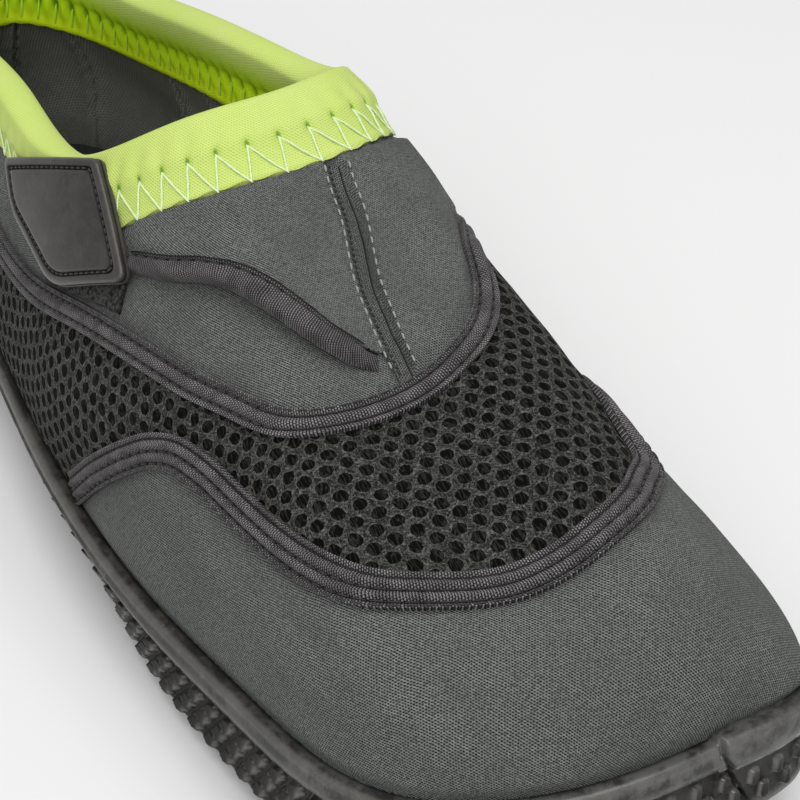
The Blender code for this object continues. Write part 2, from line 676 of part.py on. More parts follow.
def strap_tab(skin):
    """Moulded rubber tab that follows the side of the shoe over the collar band and the loop patch."""
    place = skin.at(*(np.array([value]) for value in TAB_PLACE))[0]
    normal = skin.last.normal(*(np.array([value]) for value in TAB_PLACE))[0]
    ends = [skin.at(*(np.array([value]) for value in end))[0] for end in TAB_JOIN]
    along = ends[0] - ends[1]
    along -= normal * (along @ normal)
    along /= np.linalg.norm(along)
    away = np.cross(normal, along)
    origin = ends[0] - normal * ((ends[0] - place) @ normal)
    # The ground under the tab, as heights over its plane
    sides = [np.linspace(*span, count) for span, count in zip(TAB_GROUND, GROUND_GRID)]
    u, v = (grid.ravel() for grid in np.meshgrid(*sides))
    ground = skin.at(u, v, GAP + COLLAR_CLOTH) - origin
    spots = np.column_stack([ground @ along, ground @ away])
    heights = ground @ normal
    outline = rounded(np.array(TAB_OUTLINE), TAB_CORNER)
    centre = outline.mean(0)
    low, high = [], []
    for scale in TAB_RINGS:
        for spot in centre + scale * (outline - centre):
            near = np.argsort(((spots - spot) ** 2).sum(1))[:6]
            height = heights[near].max() + TAB_CLEARANCE - GAP - COLLAR_CLOTH
            base = origin + spot[0] * along + spot[1] * away
            low.append(base + height * normal)
            high.append(base + (height + TAB_THICKNESS) * normal)
    size, rings = len(outline), len(TAB_RINGS)
    shell = Shell()
    bottom = [shell.ring(low[k * size:(k + 1) * size]) for k in range(rings)]
    top = [shell.ring(high[k * size:(k + 1) * size]) for k in range(rings)]
    chain = bottom[::-1] + top
    for first, second in zip(chain, chain[1:]):
        shell.join(first, second)
    shell.faces.append(bottom[-1])
    shell.faces.append(top[-1])
    return finish("strap_tab", shell.points, shell.faces, RUBBER)


def rounded(corners, radius):
    """The corners' outline with each corner replaced by an arc-like curve."""
    points = []
    for i, corner in enumerate(corners):
        before, after = corners[i - 1] - corner, corners[(i + 1) % len(corners)] - corner
        start = corner + before * radius / np.linalg.norm(before)
        end = corner + after * radius / np.linalg.norm(after)
        for k in range(CORNER_STEPS):
            t = k / (CORNER_STEPS - 1)
            points.append((1 - t) ** 2 * start + 2 * t * (1 - t) * corner + t**2 * end)
    return np.array(points)


def main():
    clear_scene()
    last = Last()
    skin = Skin(last)
    outsole(last)
    insole(last)
    upper(last, skin)
    collar_binding(skin)
    toe_line = skin.route(TOE_ROUTE, TAPE_STEP)
    finish("toe_tape", *skin.band(toe_line, tape_section(*TOE_TAPE)), TAPE)
    level = Loop(*zip(*THROAT_ROUTE))
    throat_line = skin.round_route(lambda u: level.at(u)[:, 0])
    section = [(across, height, 0.0) for across, height in tape_section(*THROAT_TAPE)]
    finish("throat_tape", *skin.round_band(throat_line, section), TAPE)
    seam_line = skin.route(SEAM_ROUTE, TAPE_STEP)
    finish("instep_seam", *skin.band(seam_line, tape_section(*SEAM_STRIP)), CLOTH)
    patch_line = skin.route(PATCH_ROUTE, TAPE_STEP)
    finish("loop_patch", *skin.band(patch_line, tape_section(*PATCH_SIZE)), LOOP_PILE)
    instep_flap(skin)
    flap_binding(skin)
    strap_tab(skin)


main()
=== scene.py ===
"""The looks of a right water shoe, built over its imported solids.

Every piece is drawn from the same last as the solids: u runs once round the feather line from the heel by the
outer side and the toe, v goes from the feather line (0) to the collar edge (1). Sizes in metres.
"""
import math

import bmesh
import bpy
import numpy as np
from bpy.props import FloatProperty, FloatVectorProperty, PointerProperty
from mathutils import Matrix, Vector


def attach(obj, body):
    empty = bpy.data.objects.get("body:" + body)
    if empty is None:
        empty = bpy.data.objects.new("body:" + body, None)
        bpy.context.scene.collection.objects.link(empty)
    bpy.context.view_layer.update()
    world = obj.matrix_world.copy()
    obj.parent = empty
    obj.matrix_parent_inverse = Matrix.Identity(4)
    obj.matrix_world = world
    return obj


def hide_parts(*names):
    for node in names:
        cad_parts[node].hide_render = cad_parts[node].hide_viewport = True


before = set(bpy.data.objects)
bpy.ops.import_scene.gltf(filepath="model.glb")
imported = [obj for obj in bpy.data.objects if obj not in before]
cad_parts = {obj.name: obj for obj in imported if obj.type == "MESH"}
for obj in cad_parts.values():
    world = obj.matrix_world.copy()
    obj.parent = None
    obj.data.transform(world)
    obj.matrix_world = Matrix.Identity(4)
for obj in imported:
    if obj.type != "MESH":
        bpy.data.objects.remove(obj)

bl_info = {
    "name": "Water Shoe",
    "version": (1, 0, 0),
    "blender": (4, 5, 0),
    "location": "View3D > Sidebar > Water Shoe",
    "description": "Builds the cloth, tapes, rubber and stage of a water shoe over its solids",
    "category": "Add Mesh",
}

# Sizes of the last and the sole, as in the solids
LENGTH = 0.267
BALL_WIDTH = 0.094
INSTEP_RISE = 0.070
COLLAR_RISE = 0.060
MIDDLE = 0.0173  # of the ball width, from the row's middle line to the box's
LIP_HEIGHT = 0.0183
LIP_TOE_RISE = 0.0136
LIP_RISE_START = 0.604
TOE_SPRING = 0.0110
TOE_SPRING_START = 0.729
ARCH_RISE = 0.0030
ARCH_SPAN = (0.282, 0.531)
WAIST_SPAN = (0.167, 0.396, 0.479, 0.729)
WAIST_UNDERCUT = 0.0065
CUP_NARROWING = 0.0050
LUG_DEPTH = 0.0018
SOLE_THICKNESS = 0.0050
HEEL_THICKNESS = 0.0070
HEEL_END = 0.427
RUBBER_WALL = 0.0032
LIP_BAND = 0.0054
WAIST_BAND = 0.0032
LIP_ROUND = 0.0012
LIP_CORNER = 0.0014
RIDGE_DEPTH = 0.0009
KNOB_ROWS = 3
KNOB_INSET = 0.0013
FOOT_BEVEL = 0.0014
TOE_BEVEL = 0.0025
LUG_INSET = 0.0060
LUG_ROOT = 0.0010
LUG_BARS = (0.045, 0.105, 0.164, 0.224, 0.284, 0.358, 0.428, 0.497, 0.572, 0.631, 0.691, 0.751, 0.810, 0.870)
LUG_LENGTH = 0.036
GAP = 0.0003
WALL = 0.0025
INSOLE_THICKNESS = 0.0030
TOE_TAPE = 0.0064
THROAT_TAPE = 0.0050
TAPE_THICKNESS = 0.0014
COLLAR_WIDTH = 0.0150
FLAP_CLOTH = 0.0013
FLAP_LIFT = 0.0036
FLAP_TAPE = (0.0040, 0.0026)
SEAM_STRIP = 0.0030
PATCH_WIDTH = 0.0070
TAB_THICKNESS = 0.0022
# Finish over the solids
LIP_GAP = 0.00022
WALL_LEAN = 0.0055
FOLD_HALF = 0.0030
FOLD_RISE = 0.0019
ZIGZAG_TOP = 0.0096
ZIGZAG_FOOT = 0.0151
STITCH_LIFT = 0.00004
TAPE_STITCH = (0.0026, 0.0021)
SEAM_STITCH = (0.0024, 0.0015)
OVERLOCK_STITCH = (0.0013, 0.0006)
FLAP_STITCH = (0.0028, 0.0022)
TAB_STITCH = (0.0018, 0.0014)
THREAD = 0.00036
LINE_SPACING = 0.0006
SHELL_STEPS, JOINT_STEPS = 1380, 110
PAD_STEPS = 480
CLOTH_STEPS = (520, 132, 40)  # round, up the outer face, down the lining
BAND_STEPS = 900
HEM_RISE = 0.0006
PUCKER_PITCH = 0.0061
BAR_INSET = 0.0060
PLANE_SCALE = 0.03
BLOCK = 4000
MILLIMETRES = 1000.0
BLACK_THREAD = (0.022, 0.021, 0.022)
CAMERA_AIM = (0.0109, -0.0369, 0.04)

# Stations round the feather line: along (share of length), across (share of ball width), share of the collar
# loop that the meridian reaches, then its handles: out and up at the feather, reach and drop at the collar
STATIONS = (
    (0.0000, 0.000, 0.000, 0.06, 0.30, -0.30, 0.30),
    (0.0340, -0.240, 0.050, 0.06, 0.30, -0.30, 0.30),
    (0.1180, -0.355, 0.127, 0.06, 0.28, 0.05, 0.25),
    (0.2961, -0.410, 0.280, 0.05, 0.25, 0.30, 0.22),
    (0.4752, -0.486, 0.373, 0.04, 0.30, 0.45, 0.20),
    (0.6418, -0.513, 0.429, 0.02, 0.36, 0.50, 0.22),
    (0.7866, -0.491, 0.462, 0.00, 0.38, 0.52, 0.36),
    (0.9417, -0.393, 0.483, 0.00, 0.42, 0.55, 0.50),
    (0.9969, -0.106, 0.500, 0.00, 0.42, 0.57, 0.55),
    (0.9995, 0.140, 0.513, 0.00, 0.52, 0.57, 0.55),
    (0.9854, 0.368, 0.530, 0.00, 0.28, 0.55, 0.50),
    (0.8563, 0.443, 0.552, 0.00, 0.27, 0.52, 0.38),
    (0.6960, 0.479, 0.579, 0.02, 0.17, 0.50, 0.24),
    (0.5398, 0.396, 0.629, 0.06, 0.36, 0.45, 0.20),
    (0.3763, 0.303, 0.704, 0.10, 0.30, 0.30, 0.22),
    (0.1450, 0.347, 0.871, 0.06, 0.28, 0.05, 0.25),
    (0.0390, 0.252, 0.952, 0.06, 0.30, -0.30, 0.30),
)
# Collar loop: along, across, height over the lip (share of the collar's rise)
COLLAR = (
    (0.042, 0.000, 0.745), (0.066, -0.150, 0.720), (0.150, -0.245, 0.735), (0.294, -0.287, 0.825),
    (0.429, -0.281, 0.875), (0.497, -0.148, 1.105), (0.513, 0.011, 1.165), (0.497, 0.159, 1.145),
    (0.434, 0.255, 0.985), (0.356, 0.245, 0.915), (0.243, 0.226, 0.820), (0.142, 0.212, 0.720),
    (0.066, 0.138, 0.715),
)
# Routes on the upper as (u, v) along the middle of each band
TOE_ROUTE = (
    (0.2525, 0.000), (0.2569, 0.034), (0.2797, 0.212), (0.2960, 0.304), (0.3124, 0.371), (0.3267, 0.404),
    (0.3412, 0.412), (0.3631, 0.405), (0.3924, 0.398), (0.4215, 0.398), (0.4486, 0.411), (0.4778, 0.412),
    (0.5007, 0.418), (0.5156, 0.435), (0.5275, 0.460), (0.5392, 0.488), (0.5597, 0.507), (0.5746, 0.524),
    (0.6001, 0.502), (0.6282, 0.443), (0.6600, 0.339), (0.6863, 0.217), (0.7049, 0.034), (0.7084, 0.000),
)
THROAT_ROUTE = (
    (0.0000, 0.500), (0.0549, 0.500), (0.1067, 0.484), (0.1574, 0.469), (0.2032, 0.490), (0.2475, 0.543),
    (0.2817, 0.552), (0.3125, 0.553), (0.3394, 0.561), (0.3646, 0.583), (0.3900, 0.603), (0.4196, 0.635),
    (0.4450, 0.661), (0.4650, 0.678), (0.4829, 0.689), (0.5021, 0.700), (0.5238, 0.721), (0.5419, 0.744),
    (0.5681, 0.760), (0.5960, 0.755), (0.6250, 0.727), (0.6597, 0.690), (0.7146, 0.616), (0.7711, 0.549),
    (0.8313, 0.501), (0.8892, 0.494), (0.9436, 0.495),
)
SEAM_ROUTE = (
    (0.5190, 0.929), (0.5122, 0.911), (0.5047, 0.879), (0.4981, 0.857), (0.4914, 0.834), (0.4865, 0.812),
    (0.4832, 0.779), (0.4811, 0.752), (0.4799, 0.725), (0.4791, 0.700),
)
FLAP_ROUTE = (
    (0.2930, 0.703), (0.3008, 0.707), (0.3219, 0.718), (0.3550, 0.748), (0.3792, 0.764), (0.4000, 0.764),
    (0.4217, 0.751), (0.4408, 0.733), (0.4556, 0.721), (0.4669, 0.718),
)
FLAP_TOP = (0.294, 0.504)
PATCH_ROUTE = ((0.2265, 0.635), (0.2603, 0.652), (0.2914, 0.654))
TAB_PLACE = (0.238, 0.779)
TAB_JOIN = ((0.2599, 1.000), (0.2942, 0.694))
TAB_OUTLINE = ((-0.0024, -0.0025), (-0.0312, -0.0029), (-0.0173, 0.0184), (0.0075, 0.0272), (0.0185, 0.0246))
TAB_RADII = (0.0016, 0.0036, 0.0060, 0.0050, 0.0018)
# Inset, height over the middle of the tab and relief mark (painted shade low on its side and in the stitched
# groove, painted highlight on the rim's edge), from the under face over the rim to the field
TAB_PROFILE = (
    (0.0006, -0.0011, 0.4), (0.0001, -0.0010, 0.4), (0.0, -0.0008, 0.6), (0.0, -0.00035, 0.6),
    (0.0003, -0.0002, 0.2), (0.0003, -0.0001, 0.2), (0.0001, 0.0001, 0.45), (0.0001, 0.0007, 0.45),
    (0.0003, 0.00098, 0.68), (0.0006, 0.0011, 0.55), (0.0015, 0.0011, 0.45), (0.0017, 0.0010, 0.3),
    (0.00185, 0.00065, 0.12), (0.0021, 0.0006, 0.1), (0.00235, 0.00065, 0.12),
    (0.0025, 0.0010, 0.3), (0.0027, 0.0011, 0.5), (0.0032, 0.00114, 0.45),
)
# Soft hollows and swells of worn-in cloth: u, v, half-length round, half-length up, height
CREASES = (
    (0.400, 0.180, 0.050, 0.13, 0.0006), (0.545, 0.260, 0.018, 0.16, -0.0007),
    (0.575, 0.200, 0.016, 0.12, 0.0005), (0.480, 0.120, 0.060, 0.07, 0.0005),
    (0.330, 0.220, 0.020, 0.10, -0.0004), (0.600, 0.900, 0.030, 0.05, -0.0009),
    (0.560, 0.840, 0.025, 0.05, 0.0007), (0.700, 0.300, 0.030, 0.12, -0.0006),
    (0.200, 0.250, 0.030, 0.12, -0.0005), (0.850, 0.350, 0.040, 0.14, 0.0005),
    (0.060, 0.350, 0.030, 0.14, -0.0005), (0.440, 0.500, 0.020, 0.05, -0.0004),
)
# Where the overlap of the rubber shows near the toe, and the seams of the lining, round the feather line
JOINT = 0.5145
LINING_SEAMS = (0.863, 0.893, 0.957, 0.991, 0.07, 0.16)


# ---------------------------------------------------------------- the last and its lines

class Loop:
    """A closed smooth curve (natural cubic) through values at rising knots in 0..1."""

    def __init__(self, knots, values):
        self.knots = np.asarray(knots, float)
        self.values = np.asarray(values, float).reshape(len(self.knots), -1)
        self.steps = np.diff(np.append(self.knots, 1.0 + self.knots[0]))
        count = len(self.knots)
        left = np.zeros((count, count))
        right = np.zeros_like(self.values)
        for i in range(count):
            before, after = (i - 1) % count, (i + 1) % count
            left[i, before] += self.steps[before]
            left[i, i] += 2.0 * (self.steps[before] + self.steps[i])
            left[i, after] += self.steps[i]
            rise = (self.values[after] - self.values[i]) / self.steps[i]
            fall = (self.values[i] - self.values[before]) / self.steps[before]
            right[i] = 6.0 * (rise - fall)
        self.bends = np.linalg.solve(left, right)

    def at(self, u):
        first = self.knots[0]
        u = np.mod(np.atleast_1d(np.asarray(u, float)) - first, 1.0) + first
        i = np.clip(np.searchsorted(self.knots, u, side="right") - 1, 0, len(self.knots) - 1)
        j = (i + 1) % len(self.knots)
        step = self.steps[i][:, None]
        done = (u - self.knots[i])[:, None]
        left = step - done
        cubic = (self.bends[i] * left**3 + self.bends[j] * done**3) / (6.0 * step)
        start = (self.values[i] / step - self.bends[i] * step / 6.0) * left
        return cubic + start + (self.values[j] / step - self.bends[j] * step / 6.0) * done


def unit(rows):
    return rows / np.linalg.norm(rows, axis=1)[:, None]


def reach_along(points):
    """Length so far at each point of a row of points."""
    return np.append(0.0, np.cumsum(np.linalg.norm(np.diff(points, axis=0), axis=1)))


def between(at, reach, rows):
    """Rows of values, read off at some lengths."""
    return np.column_stack([np.interp(at, reach, column) for column in rows.T])


def off_centre(value):
    """Distance from the nearest whole number."""
    return (value + 0.5) % 1.0 - 0.5


def chord_knots(points):
    chords = np.linalg.norm(np.roll(points, -1, 0) - points, axis=1)
    return np.append(0.0, np.cumsum(chords)[:-1]) / chords.sum()


def share_along(y):
    return 0.5 - y / LENGTH


def ease(value, start, end):
    """0 before start, 1 after end, smooth between."""
    t = np.clip((value - start) / (end - start), 0.0, 1.0)
    return t * t * (3.0 - 2.0 * t)


def dip(value, place, width):
    """1 at the place, falling off on both sides within about the width."""
    return np.exp(-(((value - place) / width) ** 2))


def floor_rise(share):
    toe = np.clip((share - TOE_SPRING_START) / (1.0 - TOE_SPRING_START), 0.0, 1.0)
    middle = 0.5 * sum(ARCH_SPAN)
    arch = ease(share, ARCH_SPAN[0], middle) * (1.0 - ease(share, middle, ARCH_SPAN[1]))
    return TOE_SPRING * toe**2 + ARCH_RISE * arch


def lip_top(share):
    toe = np.clip((share - LIP_RISE_START) / (1.0 - LIP_RISE_START), 0.0, 1.0)
    return LIP_HEIGHT + LIP_TOE_RISE * toe**2


def bed_top(share):
    heel = 1.0 - ease(share, 0.5 * HEEL_END, HEEL_END)
    return floor_rise(share) + LUG_DEPTH + SOLE_THICKNESS + (HEEL_THICKNESS - SOLE_THICKNESS) * heel


def waist(share):
    heel, start, end, ball = WAIST_SPAN
    return ease(share, heel, start) * (1.0 - ease(share, end, ball))


def cup(share, clearance=0.0):
    return RUBBER_WALL + CUP_NARROWING * waist(share) + clearance


class Last:
    """The upper's outer surface: meridians from the feather line (v = 0) to the collar (v = 1)."""

    def __init__(self):
        ring = np.array([((row[1] + MIDDLE) * BALL_WIDTH, (0.5 - row[0]) * LENGTH) for row in STATIONS])
        knots = chord_knots(ring)
        self.outline = Loop(knots, ring)
        self.lead = Loop(knots, np.array([row[2] for row in STATIONS]) - knots)
        self.handles = Loop(knots, np.array([row[3:] for row in STATIONS]))
        edge = np.array([
            ((across + MIDDLE) * BALL_WIDTH, (0.5 - along) * LENGTH, LIP_HEIGHT + height * COLLAR_RISE)
            for along, across, height in COLLAR
        ])
        self.collar = Loop(chord_knots(edge[:, :2]), edge)

    def outward(self, u):
        run = self.outline.at(u + 0.00025) - self.outline.at(u - 0.00025)
        return unit(np.column_stack([run[:, 1], -run[:, 0]]))

    def inset(self, u, depth, height):
        """Points inside the outline; depth and height are functions of the share along, or numbers."""
        ring = self.outline.at(u)
        share = share_along(ring[:, 1])
        depth, height = (
            np.broadcast_to(value(share) if callable(value) else value, share.shape)
            for value in (depth, height)
        )
        return np.column_stack([ring - depth[:, None] * self.outward(u), height])

    def point(self, u, v):
        u, v = np.broadcast_arrays(np.atleast_1d(np.asarray(u, float)), v)
        v = v[:, None]
        feather = self.inset(u, RUBBER_WALL + GAP, lip_top)
        top = self.collar.at(u + self.lead.at(u)[:, 0])
        out, up, reach, drop = self.handles.at(u).T
        run = feather[:, :2] - top[:, :2]
        low = feather + np.column_stack([self.outward(u) * (out * INSTEP_RISE)[:, None], up * INSTEP_RISE])
        high = top + np.column_stack([run * reach[:, None], -drop * INSTEP_RISE])
        w = 1.0 - v
        return w**3 * feather + 3.0 * v * w**2 * low + 3.0 * v**2 * w * high + v**3 * top

    def slopes(self, u, v, step=0.002):
        around = (self.point(u + step, v) - self.point(u - step, v)) / (2.0 * step)
        low, high = np.clip(v - step, 0.0, 1.0), np.clip(v + step, 0.0, 1.0)
        rising = (self.point(u, high) - self.point(u, low)) / (high - low)[:, None]
        return around, rising

    def normal(self, u, v):
        u, v = np.broadcast_arrays(np.atleast_1d(np.asarray(u, float)), v)
        return unit(np.cross(*self.slopes(u, v)))

    def at(self, u, v, height=0.0):
        return self.point(u, v) + self.normal(u, v) * np.reshape(height, (-1, 1))

    def walk(self, u, v, direction, distance):
        """(u, v) reached by going a distance (one for all, or one each) along the surface."""
        steps = max(1, int(math.ceil(np.max(np.abs(distance)) / 0.003)))
        for _ in range(steps):
            around, rising = self.slopes(u, v)
            a, b, c = (around**2).sum(1), (around * rising).sum(1), (rising**2).sum(1)
            p, q = (around * direction).sum(1), (rising * direction).sum(1)
            area = a * c - b * b
            u = u + (distance / steps) * (c * p - b * q) / area
            v = np.clip(v + (distance / steps) * (a * q - b * p) / area, 0.0, 1.0)
        return u, v

    def side(self, u, v, run):
        """Direction in the surface, square to a run, towards the collar for a run from outer to inner side."""
        return unit(np.cross(self.normal(u, v), run))


class Line:
    """A line on the upper at an even spacing: u, v, place, direction to its collar side, and length so far."""

    def __init__(self, last, u, v, spacing):
        place = last.point(u, v)
        reach = reach_along(place)
        want = np.linspace(0.0, reach[-1], max(3, int(round(reach[-1] / spacing))) + 1)
        self.u, self.v = np.interp(want, reach, u), np.interp(want, reach, v)
        self.place = last.point(self.u, self.v)
        run = np.gradient(self.place, axis=0)
        if abs(u[-1] - u[0]) > 0.999:
            run[0] = run[-1] = self.place[1] - self.place[-2]
        self.side = last.side(self.u, self.v, run)
        self.reach = want

    def measure(self, points):
        """Distance of points across the line, above 0 on its collar side, and the length along it."""
        across, along = np.empty(len(points)), np.empty(len(points))
        for start in range(0, len(points), BLOCK):
            block = points[start:start + BLOCK]
            near = ((block[:, None] - self.place) ** 2).sum(2).argmin(1)
            off = block - self.place[near]
            sign = np.where((off * self.side[near]).sum(1) < 0.0, -1.0, 1.0)
            across[start:start + BLOCK] = sign * np.linalg.norm(off, axis=1)
            along[start:start + BLOCK] = self.reach[near]
        return across, along

    def walk(self, at, distance):
        """(u, v) at lengths along the line and a distance across it."""
        u, v = (np.interp(at, self.reach, values) for values in (self.u, self.v))
        return LAST.walk(u, v, between(at, self.reach, self.side), distance)


def smooth_line(knots, values, at):
    """Cubic through the values whose slopes follow their neighbours."""
    slope = np.gradient(values, knots)
    i = np.clip(np.searchsorted(knots, at, side="right") - 1, 0, len(knots) - 2)
    step = knots[i + 1] - knots[i]
    t = (at - knots[i]) / step
    return ((2 * t**3 - 3 * t**2 + 1) * values[i] + (t**3 - 2 * t**2 + t) * step * slope[i]
            + (3 * t**2 - 2 * t**3) * values[i + 1] + (t**3 - t**2) * step * slope[i + 1])


def route(last, rows):
    rows = np.array(rows, float)
    t = chord_knots(np.column_stack([rows[:, 0] * 4.0, rows[:, 1]]))
    t = t / t[-1]
    fine = np.linspace(0.0, 1.0, 801)
    return Line(last, smooth_line(t, rows[:, 0], fine), smooth_line(t, rows[:, 1], fine), LINE_SPACING)


LAST = Last()
TOE_LINE = route(LAST, TOE_ROUTE)
SEAM_LINE = route(LAST, SEAM_ROUTE)
FLAP_LINE = route(LAST, FLAP_ROUTE)
PATCH_LINE = route(LAST, PATCH_ROUTE)
ROUND = np.linspace(0.0, 1.0, 1601)
EDGE_LINE = Line(LAST, ROUND, np.ones_like(ROUND), LINE_SPACING)
THROAT_LINE = Line(LAST, ROUND, Loop(*zip(*THROAT_ROUTE)).at(ROUND)[:, 0], LINE_SPACING)


# ---------------------------------------------------------------- mesh helpers

def grid_faces(rows, columns, start=0):
    """Quads of a grid of points that are numbered row after row."""
    index = start + np.arange(rows * columns).reshape(rows, columns)
    quads = np.stack([index[:-1, :-1], index[:-1, 1:], index[1:, 1:], index[1:, :-1]], -1)
    return quads.reshape(-1, 4).tolist()


def cap_faces(start, columns, turn):
    """Quads that close a ring of columns points (its first one doubled at the end), cut across its length."""
    faces = [[start + i, start + i + 1, start + columns - i - 1, start + columns - i]
             for i in range(1, columns // 2 - 1)]
    middle = start + columns // 2
    faces += [[start, start + 1, start + columns - 1], [middle - 1, middle, middle + 1]]
    return [face[::turn] for face in faces]


def add_piece(name, points, faces, uv, looks, replaces=(), kinds=None, relief=None, sharp=55.0,
              turn=True):
    """A shown piece from points, faces and flat coordinates in metres; doubled points are merged.

    kinds numbers the look of each face, relief marks where shade is painted into hollows and where edges are
    painted pale as highlight and wear, sharp is the angle in degrees from which an edge stays crisp, and turn
    faces everything outwards again after the merge.
    """
    mesh = bpy.data.meshes.new(name)
    mesh.from_pydata(np.asarray(points, float).tolist(), [], faces)
    corner = np.empty(len(mesh.loops), np.int32)
    mesh.loops.foreach_get("vertex_index", corner)
    mesh.uv_layers.new(name="UVMap").data.foreach_set("uv", np.asarray(uv, np.float32)[corner].ravel())
    if kinds is not None:
        mesh.polygons.foreach_set("material_index", np.asarray(kinds, np.int32))
    if relief is not None:
        marks = mesh.attributes.new("relief", "FLOAT", "POINT")
        marks.data.foreach_set("value", np.asarray(relief, np.float32))
    bm = bmesh.new()
    bm.from_mesh(mesh)
    bmesh.ops.remove_doubles(bm, verts=bm.verts, dist=2e-6)
    bmesh.ops.dissolve_degenerate(bm, edges=bm.edges, dist=1e-7)
    if turn:
        bmesh.ops.recalc_face_normals(bm, faces=bm.faces)
    bm.to_mesh(mesh)
    bm.free()
    mesh.shade_smooth()
    mesh.set_sharp_from_angle(angle=math.radians(sharp))
    piece = bpy.data.objects.new(name, mesh)
    bpy.context.scene.collection.objects.link(piece)
    for look in looks:
        mesh.materials.append(look)
    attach(piece, "root")
    if replaces:
        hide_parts(*replaces)
    return piece


def laid_flat(columns=97, rows=25):
    """Flat coordinates in metres of the upper, unrolled from heel to heel with little stretch."""
    u, v = np.meshgrid(np.linspace(0.0, 1.0, columns), np.linspace(0.0, 1.0, rows))
    points = LAST.point(u.ravel(), v.ravel())
    mesh = bpy.data.meshes.new("pattern")
    mesh.from_pydata(points.tolist(), [], grid_faces(rows, columns))
    mesh.uv_layers.new(name="UVMap")
    sheet = bpy.data.objects.new("pattern", mesh)
    bpy.context.scene.collection.objects.link(sheet)
    bpy.ops.object.select_all(action="DESELECT")
    sheet.select_set(True)
    bpy.context.view_layer.objects.active = sheet
    bpy.ops.object.mode_set(mode="EDIT")
    bpy.ops.mesh.select_all(action="SELECT")
    bpy.ops.uv.unwrap(method="MINIMUM_STRETCH", margin=0.0)
    bpy.ops.object.mode_set(mode="OBJECT")
    flat = np.empty(len(mesh.loops) * 2, np.float32)
    mesh.uv_layers[0].data.foreach_get("uv", flat)
    corner = np.empty(len(mesh.loops), np.int32)
    mesh.loops.foreach_get("vertex_index", corner)
    laid = np.empty((rows * columns, 2))
    laid[corner] = flat.reshape(-1, 2)
    bpy.data.objects.remove(sheet, do_unlink=True)
    bpy.data.meshes.remove(mesh)
    # Scaled by real lengths up the vamp, and turned so that the vamp's middle runs up the pattern
    grid, place = laid.reshape(rows, columns, 2), points.reshape(rows, columns, 3)
    zone = slice(columns // 4, 3 * columns // 4)
    real = np.linalg.norm(np.diff(place[5:20, zone], axis=0), axis=2).sum()
    scale = real / np.linalg.norm(np.diff(grid[5:20, zone], axis=0), axis=2).sum()
    up = grid[rows * 3 // 4, columns // 2] - grid[rows // 4, columns // 2]
    up = up / np.linalg.norm(up)
    return np.stack([grid @ np.array([up[1], -up[0]]), grid @ up], -1) * scale


def flat_at(u, v):
    """Flat coordinates at (u, v), between the points of the unrolled pattern."""
    rows, columns = PATTERN.shape[:2]
    x, y = np.clip(u, 0.0, 1.0) * (columns - 1), np.clip(v, 0.0, 1.0) * (rows - 1)
    i, j = np.minimum(x.astype(int), columns - 2), np.minimum(y.astype(int), rows - 2)
    s, t = (x - i)[:, None], (y - j)[:, None]
    return ((1 - s) * (1 - t) * PATTERN[j, i] + s * (1 - t) * PATTERN[j, i + 1]
            + (1 - s) * t * PATTERN[j + 1, i] + s * t * PATTERN[j + 1, i + 1])


PATTERN = laid_flat()


def band(name, line, across, height, looks, replaces=(), lift=None, girth=False):
    """A band along a line: height(across, along) gives its top; its foot lies on the cloth.

    With girth the flat coordinate across is measured over its top, back from its last edge.
    """
    across = np.asarray(across, float)
    count, size = len(line.u), len(across)
    lift = np.zeros(count) if lift is None else lift
    top, low, flat = [], [], []
    over = across
    if girth:
        middle = np.array([height(x, line.reach)[count // 2] for x in across])
        over = np.append(0.0, np.cumsum(np.hypot(np.diff(across), np.diff(middle))))
        over = over - over[-1]
    for x, y in zip(across, over):
        u, v = LAST.walk(line.u, line.v, line.side, x)
        out = LAST.normal(u, v)
        place = LAST.point(u, v)
        top.append(place + out * (lift + height(x, line.reach))[:, None])
        low.append(place + out * (lift + GAP)[:, None])
        flat.append(np.column_stack([line.reach, np.full(count, y)]))
    rings = np.stack(top + low[::-1] + top[:1], 1)
    uv = np.stack(flat + flat[::-1] + flat[:1], 1)
    faces = grid_faces(count, 2 * size + 1)
    if np.linalg.norm(rings[0] - rings[-1]) > 1e-5:
        for start in (0, (count - 1) * (2 * size + 1)):
            for k in range(size - 1):
                faces.append([start + k, start + k + 1, start + 2 * size - 2 - k, start + 2 * size - 1 - k])
    return add_piece(name, rings.reshape(-1, 3), faces, uv.reshape(-1, 2), looks, replaces)


def taken(form):
    """Points and faces of a form that was modelled once to be copied; the form itself goes."""
    points = np.array([corner.co[:] for corner in form.data.vertices])
    faces = [list(face.vertices) for face in form.data.polygons]
    bpy.data.objects.remove(form, do_unlink=True)
    return points, faces


def stitch_form():
    """One stitch of unit length and thickness along X: a drawn-out ball of thread."""
    bpy.ops.object.select_all(action="DESELECT")
    bpy.ops.mesh.primitive_uv_sphere_add(segments=6, ring_count=6, radius=0.5)
    form = bpy.context.object
    form.data.transform(Matrix.Rotation(math.radians(90.0), 4, "Y"))
    points, faces = taken(form)
    points[:, 0] = 0.5 * np.sign(points[:, 0]) * np.abs(2.0 * points[:, 0]) ** 0.6
    return points, faces


STITCH_POINTS, STITCH_FACES = stitch_form()


